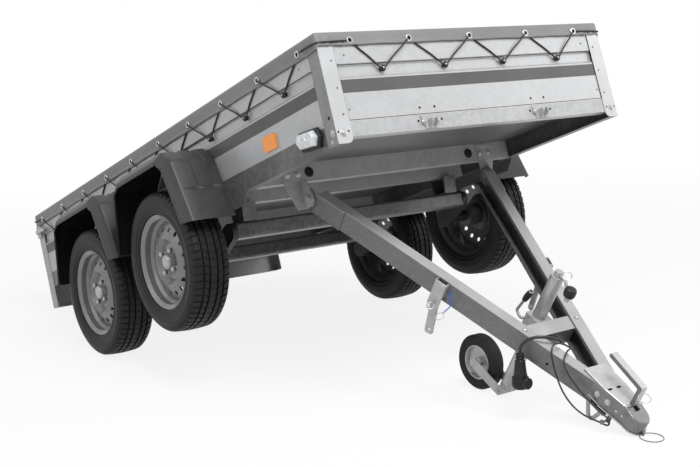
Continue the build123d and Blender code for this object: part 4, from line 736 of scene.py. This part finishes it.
def guard_path(inset):
    """Half outline from the foot to the crown's middle, moved inward."""
    foot = Vector((GUARD_FOOT.x - inset / leg_normal.x, GUARD_FOOT.y))
    knee = bends[0][0] - leg_normal * inset
    line = [foot.lerp(knee, share) for share in steps(0.0, 1.0, 40)[:-1]]
    line += [point - normal * inset for point, normal in bends]
    return line + [middle - Vector((0, inset))]


def guard_whole(inset):
    """Whole outline; the band's edge stays level to the rear leg and follows the leg down."""
    front = guard_path(inset)
    if inset <= GUARD_BEVEL:
        rear = [Vector((-point.x, point.y)) for point in front[-2::-1]]
    else:
        rear = [Vector((-point.x, min(point.y, GUARD_CROWN.y - inset)))
                for point in guard_path(GUARD_BEVEL + 0.05 * (inset - GUARD_BEVEL))[-2::-1]]
    return front + rear


# Section of a mudguard as distance from the wall and inset: top, bevel with rounded corners, band, inside.
flute_ys = sorted(flute + sign * (FLUTE_HALF + rim)
                  for flute in FLUTES for sign in (1, -1) for rim in FLUTE_RIM)
top = [(0.0, 0.0)] + [(y, 0.0) for y in flute_ys]
bevel_y = GUARD_WIDTH - GUARD_BEVEL
bevel = [(bevel_y - 0.006, 0.0), (bevel_y - 0.001, 0.0008), (bevel_y + 0.003, 0.003),
         (GUARD_WIDTH - 0.003, GUARD_BEVEL - 0.003), (GUARD_WIDTH - 0.0008, GUARD_BEVEL + 0.001),
         (GUARD_WIDTH, GUARD_BEVEL + 0.006)]
band = [(GUARD_WIDTH, GUARD_SKIRT - 0.0025), (GUARD_WIDTH + 0.0004, GUARD_SKIRT - 0.002),
        (GUARD_WIDTH + 0.0004, GUARD_SKIRT - 0.0004), (GUARD_WIDTH - 0.0006, GUARD_SKIRT),
        (GUARD_WIDTH - 0.003, GUARD_SKIRT), (GUARD_WIDTH - GUARD_WALL, GUARD_SKIRT - 0.001)]
inside = [(GUARD_WIDTH - GUARD_WALL, GUARD_BEVEL + 0.004), (bevel_y - 0.002, GUARD_WALL)]
guard_section = top + bevel + band + inside + [(0.0, GUARD_WALL)]


def guard_point(point, y, inset, x0, side):
    """Place a section point, sunk where it lies in a flute above the flutes' ends."""
    fade = 0.0
    if inset == 0.0:
        near = min(abs(y - flute) for flute in FLUTES)
        narrow = FLUTE_HALF * math.sqrt(min(1.0, max(0.0, (point.y - FLUTE_END + FLUTE_HALF) / FLUTE_HALF)))
        fade = ease((narrow + FLUTE_RIM[0] - near) / (FLUTE_RIM[0] - FLUTE_RIM[1]))
    sunk = point.y - FLUTE_DEPTH * fade * (0.9 if abs(point.x) < 0.2 else 0.3)
    lean = math.copysign(FLUTE_DEPTH * fade * (0.3 if abs(point.x) < 0.2 else 0.95), point.x)
    return (x0 + point.x - lean, side * (OUTER_Y + GUARD_OFF + y), sunk)


def four_guards(profile):
    """Forms of one section over the four wheels."""
    form = Shape(BED)
    for x0 in WHEEL_X.values():
        for side in (1, -1):
            columns = [[guard_point(point, y, inset, x0, side) for point in guard_whole(inset)]
                       for y, inset in profile]
            rows = [list(row) for row in zip(*columns)]
            form.close(form.skin(rows, ring=True), len(rows), len(profile))
    return form


guards = four_guards(guard_section)
guards.piece("mudguard_mouldings", mats["guard_plastic"], "bed", "guard_plastic", 32, ["mudguards"])

# Cords on the drawbar, each one smooth curve along the same points as its solid.
TOW_ROUTE = [
    (0.900, -0.024, 0.020), (0.917, -0.024, 0.020), (0.933, -0.027, 0.028), (0.944, -0.036, 0.040),
    (0.948, -0.052, 0.051), (0.946, -0.071, 0.059), (0.939, -0.091, 0.062), (0.929, -0.111, 0.061),
    (0.918, -0.130, 0.055), (0.909, -0.146, 0.042), (0.903, -0.157, 0.024), (0.9008, -0.160, 0.0015),
    (0.910, -0.160, -0.014),
]
SAFETY_ROUTE = [
    (0.900, 0.014, 0.002), (0.922, 0.014, 0.002), (0.948, 0.009, 0.011), (0.971, -0.003, 0.026),
    (0.988, -0.023, 0.042), (1.000, -0.046, 0.055), (1.011, -0.070, 0.061), (1.024, -0.092, 0.056),
    (1.043, -0.107, 0.041), (1.072, -0.098, 0.018), (1.108, -0.084, -0.003), (1.146, -0.071, -0.017),
    (1.180, -0.063, -0.025), (1.209, -0.057, -0.029), (1.230, -0.053, -0.0275), (1.242, -0.053, -0.027),
    (1.252, -0.053, -0.031), (1.256, -0.053, -0.040), (1.252, -0.053, -0.049), (1.241, -0.054, -0.054),
    (1.222, -0.056, -0.060), (1.195, -0.061, -0.071), (1.162, -0.068, -0.079), (1.128, -0.077, -0.077),
    (1.096, -0.088, -0.063), (1.069, -0.099, -0.042), (1.046, -0.108, -0.017), (1.027, -0.116, 0.008),
    (1.010, -0.122, 0.031), (0.994, -0.123, 0.051), (0.980, -0.113, 0.064), (0.973, -0.095, 0.067),
    (0.972, -0.074, 0.063), (0.972, -0.053, 0.054), (0.967, -0.032, 0.041), (0.954, -0.014, 0.027),
    (0.930, -0.004, 0.014), (0.900, -0.004, 0.014),
]
LANYARD_ROUTE = [
    (0.604, -0.2306, 0.008), (0.6075, -0.2410, 0.008), (0.6135, -0.249, 0.013), (0.624, -0.253, 0.015),
    (0.634, -0.252, 0.008), (0.6385, -0.250, -0.006), (0.636, -0.249, -0.023), (0.629, -0.250, -0.042),
    (0.622, -0.251, -0.060),
]
PLUG_TOP = TOW_ROUTE[-1]


def cord(name, solid, route, diameter, finish):
    """Smooth round curve with the route's points as its control points."""
    data = bpy.data.curves.new(name, "CURVE")
    data.dimensions = "3D"
    data.bevel_depth = diameter / 2
    data.bevel_resolution = 3
    data.resolution_u = 8
    data.use_fill_caps = True
    spline = data.splines.new("NURBS")
    spline.points.add(len(route) - 1)
    for knot, point in zip(spline.points, route):
        knot.co = (*(DRAW @ Vector(point)), 1)
    spline.order_u = 3
    spline.use_endpoint_u = True
    data.materials.append(mats[finish])
    thing = bpy.data.objects.new(name, data)
    bpy.context.scene.collection.objects.link(thing)
    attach(thing, "drawbar")
    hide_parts(solid)
    return thing


# The plug hangs plumb from its cable: a ribbed neck, a tapered body, and a head with a side cap.
plug = Shape(Matrix.Translation(DRAW @ Vector(PLUG_TOP)))
NECK = [(0.0112, 0.0), (0.0136, 0.002), (0.0142, 0.006), (0.0124, 0.008), (0.0124, 0.011), (0.0149, 0.013),
        (0.0149, 0.017), (0.0131, 0.019), (0.0131, 0.022), (0.0165, 0.025)]
HOUSING = [(0.0178, 0.032), (0.0205, 0.060), (0.0228, 0.073), (0.0232, 0.0775), (0.0272, 0.079),
           (0.0278, 0.084), (0.0278, 0.107), (0.0264, 0.114), (0.022, 0.119), (0.012, 0.1215)]
SIDE_CAP = [(0.0178, 0.0), (0.0178, 0.030), (0.0194, 0.0308), (0.0194, 0.0368), (0.0172, 0.0392),
            (0.0125, 0.0396), (0.012, 0.0382), (0.005, 0.038)]
HEAD_Z = -0.096
GRIP_RIBS = 24
plug.turned(NECK + HOUSING, (0, 0, 0), (0, 0, -1), 40)
for turn in angles(GRIP_RIBS):
    grip = Matrix.Rotation(turn, 4, "Z") @ Matrix.Translation((0.0272, 0, HEAD_Z))
    plug.slab((-0.001, -0.0016, -0.0105), (0.0012, 0.0016, 0.0105), 0.0005, grip)
plug.turned(SIDE_CAP, (0, 0, HEAD_Z), (1, 0, 0), 36)
plug_piece = plug.piece("tow_plug_body", mats["black_plastic"], "drawbar", "black_plastic", 35, ["tow_plug"])

tow = cord("tow_cable_run", "tow_cable", TOW_ROUTE, 0.011, "cable_black")
safety = cord("safety_cable_run", "safety_cable", SAFETY_ROUTE, 0.006, "cable_black")
RAIL_OUT = Vector((math.sin(RAIL_TURN), -math.cos(RAIL_TURN), 0))
RAIL_ALONG = Vector((math.cos(RAIL_TURN), math.sin(RAIL_TURN), 0))
crimp = Shape(DRAW)
lanyard_end = Vector(LANYARD_ROUTE[-1])
end_way = (lanyard_end - Vector(LANYARD_ROUTE[-2])).normalized()
crimp.turned([(0.0026, -0.012), (0.0034, -0.011), (0.0034, 0.004), (0.0028, 0.006)], lanyard_end, end_way, 14)
loop = [lanyard_end + end_way * (0.004 + 0.021 * (1 - math.cos(a))) + RAIL_ALONG * 0.012 * math.sin(a)
        for a in steps(0.25, 2 * math.pi - 0.25, 22)]
crimp.tube(loop, 0.0012, 6)
crimp_piece = crimp.piece("lanyard_crimp", mats["bright_steel"], "drawbar", "zinc")
lanyard = cord("lock_lanyard_run", "lock_lanyard", LANYARD_ROUTE, 0.004, "cable_blue")


# Fasteners, holes with painted shade in their mouths, painted shadow lines and grommets on the bed.
WALL_X = SKIN_Y - OUTER_Y
FORWARD = (1, 0, 0)
rivets = Shape(BED)
bolts = Shape(BED)
hole_shades = Shape(BED)
shadow_lines = Shape(BED)
grommets = Shape(BED)
# Places seen from the front, as distance from the middle and height.
POST_RIVETS = ((0.603, 0.271), (0.603, 0.181), (0.603, 0.094))
WALL_RIVETS = ((0.546, 0.288), (0.573, 0.108))
CATCH_Y = 0.256
BEAM_X = -0.575
WING_X = -0.5700
# Radius and height of heads, and how many times as wide their washers are.
SMALL_RIVET = (0.0036, 0.0016)
HOOK_RIVET = (0.0036, 0.0012)
FRAME_BOLT = (0.0075, 0.005)
CATCH_BOLT = (0.006, 0.0045, 1.5)
COUPLING_BOLT = (0.0075, 0.0055, 1.5)
HOOK_FACE = GROOVE_Y + 0.0168
FOLD_Z = (0.2553, 0.2566)
POST_Z = (0.074, 0.316)
POST_Y = 0.584
SHADOW_LINE_DEEP = 0.001
SHADOW_LINE_BEVEL = 0.0002


def painted_shade(shape, at, axis, radius):
    """Dark disc in the mouth of a drilled hole: painted shade for its dark inside."""
    shape.turned([(radius, -0.0006), (radius, 0.0002), (radius * 0.9, 0.0003)], at, axis, 14)


for side in (1, -1):
    out = (0, side, 0)
    for y, z in POST_RIVETS:
        rivets.rivet((0, side * y, z), FORWARD, *SMALL_RIVET)
    for y, z in WALL_RIVETS:
        rivets.rivet((WALL_X, side * y, z), FORWARD, *SMALL_RIVET)
    bolts.bolt((0, side * 0.619, 0.034), FORWARD, *FRAME_BOLT)
    for y in (0.638, 0.597):
        painted_shade(hole_shades, (0, side * y, 0.0385), FORWARD, 0.0036)
    bolts.bolt((-0.021, side * OUTER_Y, 0.039), out, *FRAME_BOLT)
    bolts.rivet((-0.035, side * OUTER_Y, 0.014), out, 0.006)
    painted_shade(hole_shades, (-0.023, side * OUTER_Y, 0.090), out, 0.0055)
    rivets.rivet((-0.129, side * SKIN_Y, 0.286), out, 0.0034, 0.0016)
    bolts.rivet((-0.0685, side * SKIN_Y, 0.087), out, 0.0052)
    for z in (0.061, 0.021):
        bolts.rivet((-BED_LENGTH + 0.024, side * OUTER_Y, z), out, 0.0062)
    for reach in (-1, 1):
        bolts.bolt((0.001, side * CATCH_Y + reach * 0.031, 0.046), FORWARD, *CATCH_BOLT)
        painted_shade(hole_shades, (WALL_X, side * CATCH_Y + reach * 0.050, 0.0505), FORWARD, 0.0044)
        painted_shade(hole_shades, (WALL_X, side * CATCH_Y + reach * 0.032, 0.0955), FORWARD, 0.0044)
    for y in (0.443, 0.488):
        bolts.bolt((WING_X, side * y, 0.030), FORWARD, *FRAME_BOLT)
    grommets.turned([(0.019, -0.001), (0.019, 0.002), (0.016, 0.0045), (0.010, 0.005), (0.008, 0.003)],
                    (BEAM_X, side * 0.387, 0.034), FORWARD, 24)
    # Painted shadow lines: under the fold above the side's groove, and along the front post's edges on the side
    # and the front.
    shadow_line_y = side * (SKIN_Y - SHADOW_LINE_DEEP)
    shadow_lines.slab((-2.55, shadow_line_y, FOLD_Z[0]), (-0.0615, side * (SKIN_Y + 0.0004), FOLD_Z[1]), SHADOW_LINE_BEVEL)
    shadow_lines.slab((-0.0614, shadow_line_y, POST_Z[0]), (-0.0602, side * (SKIN_Y + 0.0022), POST_Z[1]), SHADOW_LINE_BEVEL)
    shadow_lines.slab((WALL_X - SHADOW_LINE_DEEP, side * (POST_Y + 0.0012), POST_Z[0]), (-0.0004, side * POST_Y, POST_Z[1]),
               SHADOW_LINE_BEVEL)
    for x in SIDE_HOOKS:
        bolts.rivet((x, side * HOOK_FACE, HOOK_Z), out, *HOOK_RIVET)
for y in FRONT_HOOKS:
    bolts.rivet((HOOK_FACE - OUTER_Y, y, HOOK_Z), FORWARD, *HOOK_RIVET)
# Painted shadow lines under the fold above the front wall's groove, and in the gap over the front rail.
for proud, (low, high) in ((0.0004, FOLD_Z), (0.0006, (0.0728, 0.0745))):
    shadow_lines.slab((WALL_X - SHADOW_LINE_DEEP, -POST_Y, low), (WALL_X + proud, POST_Y, high), SHADOW_LINE_BEVEL)
rivets.piece("bed_rivets", mats["dark_steel"], "bed", "zinc")
bolts.piece("bed_bolts", mats["zinc"], "bed", "zinc")
hole_shades.piece("bed_hole_shades", mats["painted_shade"], "bed", "black_plastic")
shadow_lines.piece("painted_shadow_lines", mats["painted_shade"], "bed", "black_plastic")
grommets.piece("cable_grommets", mats["black_rubber"], "bed", "black_rubber")

# Marker lamps: a six-sided base and a domed six-sided lens.
LAMP_BASE = ((-0.218, 0.058), (-0.196, 0.090), (-0.094, 0.082), (-0.077, 0.050), (-0.094, 0.016),
             (-0.196, 0.026))
LAMP_LENS = ((-0.203, 0.057), (-0.186, 0.083), (-0.106, 0.076), (-0.091, 0.051), (-0.106, 0.025),
             (-0.186, 0.033))


def prism(shape, outline, profile, side):
    """Six-sided form in layers of (scale, height from the wall)."""
    middle_x = sum(x for x, _ in outline) / len(outline)
    middle_z = sum(z for _, z in outline) / len(outline)
    rows = [[(blend(middle_x, x, scale), side * (SKIN_Y + height), blend(middle_z, z, scale))
             for x, z in outline] for scale, height in profile]
    shape.close(shape.skin(rows, ring=True), len(rows), len(outline))


bases = Shape(BED)
lenses = Shape(BED)
for side in (1, -1):
    prism(bases, LAMP_BASE, ((1, 0), (1, 0.010), (0.97, 0.013), (0.9, 0.013)), side)
    prism(lenses, LAMP_LENS, ((1, 0.012), (1, 0.021), (0.94, 0.028), (0.84, 0.032), (0.6, 0.034)), side)
    lenses.ring((-0.147, side * (SKIN_Y + 0.0342), 0.054), (0, side, 0), (0.011, 0.009), 0.0022)
bases.piece("marker_lamp_bases", mats["black_plastic"], "bed", "black_plastic", 20, ["marker_lamp_housings"])
lenses.piece("marker_lamp_domes", mats["clear_lens"], "bed", "clear_lens", 20, ["marker_lamp_lenses"])

# Painted shade: black sheets just inside the mudguards.
GUARD_SHADE_GAPS = (0.0006, 0.0016)
near_y, far_y = (GUARD_WIDTH - GUARD_WALL - gap for gap in GUARD_SHADE_GAPS)
guard_shade_section = [(0.001, GUARD_WALL + GUARD_SHADE_GAPS[0]), (bevel_y - 0.002, GUARD_WALL + GUARD_SHADE_GAPS[0]),
                  (near_y, GUARD_BEVEL + 0.0045), (near_y, GUARD_SKIRT - 0.002),
                  (far_y, GUARD_SKIRT - 0.002), (far_y, GUARD_BEVEL + 0.005),
                  (bevel_y - 0.003, GUARD_WALL + GUARD_SHADE_GAPS[1]), (0.001, GUARD_WALL + GUARD_SHADE_GAPS[1])]
guard_shade = four_guards([(y - GUARD_OFF, inset) for y, inset in guard_shade_section])
guard_shade.piece("mudguard_painted_shade", mats["painted_shade"], "bed", "black_plastic", 32)

# Drawbar: rail bolts, clipped lead, coupling trim, lock rings and the jockey wheel's grips.
UP = (0, 0, 1)
RING_FACE = Vector((0.609, -0.579, 0.542))
draw_bolts = Shape(DRAW)
drawbar_hole_shades = Shape(DRAW)
rings = Shape(DRAW)
SKIRT_Y = 0.052
SLOT = (1.186, 1.194)
SLOT_HALF = 0.009
for side in (1, -1):
    draw_bolts.rivet((0.864, side * 0.122, RAIL_TOP), UP, 0.0092, 0.006)
    draw_bolts.bolt((1.168, side * SKIRT_Y, 0.010), (0, side, 0), *COUPLING_BOLT)
    draw_bolts.bolt((1.212, side * 0.0487, 0.014), (0.15, side, 0), *COUPLING_BOLT)
    for u, y in ((1.250, 0.0429), (1.274, 0.0393)):
        draw_bolts.rivet((u, side * y, 0.008), (0.25, side, 0), 0.0048, 0.0026)
    turn = Vector((RAIL_OUT.x, side * -RAIL_OUT.y, 0))
    pin = Vector((0.563, side * rail_y(0.563), -0.066)) + turn * 0.0255
    rings.ring(pin, (RING_FACE.x, side * -RING_FACE.y, RING_FACE.z), (0.0115, 0.0115), 0.0034, 10)
# Painted shade: dark slabs in the coupling's slots and a dark disc in the rail's hole.
for y in (-0.032, 0.008):
    drawbar_hole_shades.slab((SLOT[0], y - SLOT_HALF, COUPLING_TOP - 0.001),
                    (SLOT[1], y + SLOT_HALF, COUPLING_TOP + 0.0003), 0.0003)
drawbar_hole_shades.slab((1.272, -0.007, COUPLING_TOP - 0.006), (1.292, 0.007, COUPLING_TOP - 0.0012), 0.0003)
painted_shade(drawbar_hole_shades, (0.985, -rail_y(0.985) - 0.0002, -0.010), tuple(RAIL_OUT), 0.005)
rings.ring((1.291, 0.0, 0.092), tuple(RING_FACE), (0.021, 0.014), 0.0013)
rings.ring((0.829, 0.018, 0.214), tuple(RING_FACE), (0.015, 0.012), 0.0018)
draw_bolts.piece("drawbar_bolts", mats["zinc"], "drawbar", "zinc")
drawbar_hole_shades.piece("drawbar_painted_hole_shade", mats["painted_shade"], "drawbar", "black_plastic")
rings.piece("wire_rings", mats["bright_steel"], "drawbar", "zinc")
lead = Shape(DRAW)
LEAD_IN = 0.026
lead.tube([(u, rail_y(u) - LEAD_IN, -0.031) for u in steps(0.05, 0.79, 9)], 0.0036, 10)
for u in (0.16, 0.38, 0.60):
    lead.ring((u, rail_y(u) - LEAD_IN, -0.0315), (1, -RAIL_SLOPE, 0), (0.0052, 0.0052), 0.0018)
lead.piece("rail_lead", mats["cable_black"], "drawbar", "cable_black", 60)
CRANK_KNOB = [(0.0097, 0.166), (0.0180, 0.1695), (0.0208, 0.177), (0.0208, 0.191), (0.0180, 0.1995),
              (0.0110, 0.2028), (0.0040, 0.2036)]
CLAMP_GRIP = [(0.0090, 0.0), (0.0098, 0.003), (0.0115, 0.018), (0.0110, 0.034), (0.0088, 0.046),
              (0.0040, 0.0505)]
CLAMP_ROD_END = Vector((0.780, -0.062, 0.125))
CLAMP_ROD_WAY = Vector((0.024, 0, 0.101)).normalized()
grips = Shape(DRAW)
grips.turned(CRANK_KNOB, (0.878, 0, 0), UP, 28)
grips.turned(CLAMP_GRIP, CLAMP_ROD_END - CLAMP_ROD_WAY * 0.049, CLAMP_ROD_WAY, 20)
grips.piece("jockey_grips", mats["black_plastic"], "drawbar", "black_plastic")


# Floor, light and camera.
def lamp(name, where, target, size, power):
    data = bpy.data.lights.new(name, "AREA")
    data.shape = "RECTANGLE"
    data.size, data.size_y = size
    data.energy = power
    thing = bpy.data.objects.new(name, data)
    bpy.context.scene.collection.objects.link(thing)
    thing.location = where
    thing.rotation_mode = "QUATERNION"
    thing.rotation_quaternion = (Vector(target) - Vector(where)).to_track_quat("-Z", "Y")


def white_to_view(tree, share=None):
    """Factor that is a share where a surface is seen directly, in a reflection or through glass."""
    path = node(tree, "LightPath")
    seen = path.outputs["Is Camera Ray"]
    for way in ("Is Glossy Ray", "Is Transmission Ray"):
        seen = math_node(tree, "MAXIMUM", seen, path.outputs[way])
    return seen if share is None else math_node(tree, "MULTIPLY", seen, share)


def mixed_shader(tree, end, factor, first, second):
    """Mix two shaders into an output node."""
    mix = node(tree, "MixShader")
    for socket, value in zip(mix.inputs, (factor, first.outputs[0], second.outputs[0])):
        feed(tree, socket, value)
    feed(tree, tree.nodes[end].inputs["Surface"], mix.outputs["Shader"])


FLOOR_EDGE = 40.0
floor_mesh = bpy.data.meshes.new("floor")
corners = [(x * FLOOR_EDGE, y * FLOOR_EDGE, 0) for x, y in ((-1, -1), (1, -1), (1, 1), (-1, 1))]
floor_mesh.from_pydata(corners, [], [(0, 1, 2, 3)])
floor = bpy.data.objects.new("floor", floor_mesh)
bpy.context.scene.collection.objects.link(floor)
floor.location.z = -0.001
floor_mat, tree = shader("studio_floor")
shade = tree.nodes["Principled BSDF"]
shade.inputs["Base Color"].default_value = (0.86, 0.86, 0.86, 1)
shade.inputs["Roughness"].default_value = 0.9
shade.inputs["Specular IOR Level"].default_value = 0.1
away = node(tree, "VectorMath")
away.operation = "LENGTH"
feed(tree, away.inputs[0], node(tree, "TexCoord").outputs["Object"])
fade = node(tree, "MapRange", Value=away.outputs["Value"], From_Min=2.0, From_Max=7.0, To_Min=0.86,
            To_Max=1.0)
glow = node(tree, "Emission", Strength=1.0)
mixed_shader(tree, "Material Output", white_to_view(tree, fade.outputs["Result"]), shade, glow)
floor_mesh.materials.append(floor_mat)

world = bpy.data.worlds.new("studio")
bpy.context.scene.world = world
world.use_nodes = True
tree = world.node_tree
ambient = tree.nodes["Background"]
ambient.inputs["Color"].default_value = (0.96, 0.97, 1.0, 1)
ambient.inputs["Strength"].default_value = 0.32
backdrop = node(tree, "Background", Color=(1, 1, 1, 1), Strength=1.0)
mixed_shader(tree, "World Output", white_to_view(tree), ambient, backdrop)
centre = BED @ Vector((-0.6, 0, 0.1))
lamp("key", centre + Vector((3.3, -0.8, 4.5)), centre, (3.4, 3.0), 330)
lamp("fill", centre + Vector((2.4, 4.2, 1.6)), centre, (3.0, 3.0), 45)
lamp("side", centre + Vector((-1.2, -5.2, 2.2)), centre, (5.0, 2.4), 54)

camera_data = bpy.data.cameras.new("camera")
camera = bpy.data.objects.new("camera", camera_data)
bpy.context.scene.collection.objects.link(camera)
bpy.context.scene.camera = camera
camera_data.sensor_width = 36.0
camera_data.lens = 61.714
CAMERA_AT = Vector((2.997, -2.829, -0.657))
bed_turn = BED.to_3x3()
right = bed_turn @ Vector((0.54911, 0.80529, -0.22358))
down = bed_turn @ Vector((-0.21053, -0.12561, -0.96949))
look = bed_turn @ Vector((-0.80880, 0.57942, 0.10057))
camera.matrix_world = axes_matrix(right.normalized(), -down.normalized(), -look.normalized(),
                                  BED @ CAMERA_AT)
bpy.context.scene.view_settings.view_transform = "Standard"
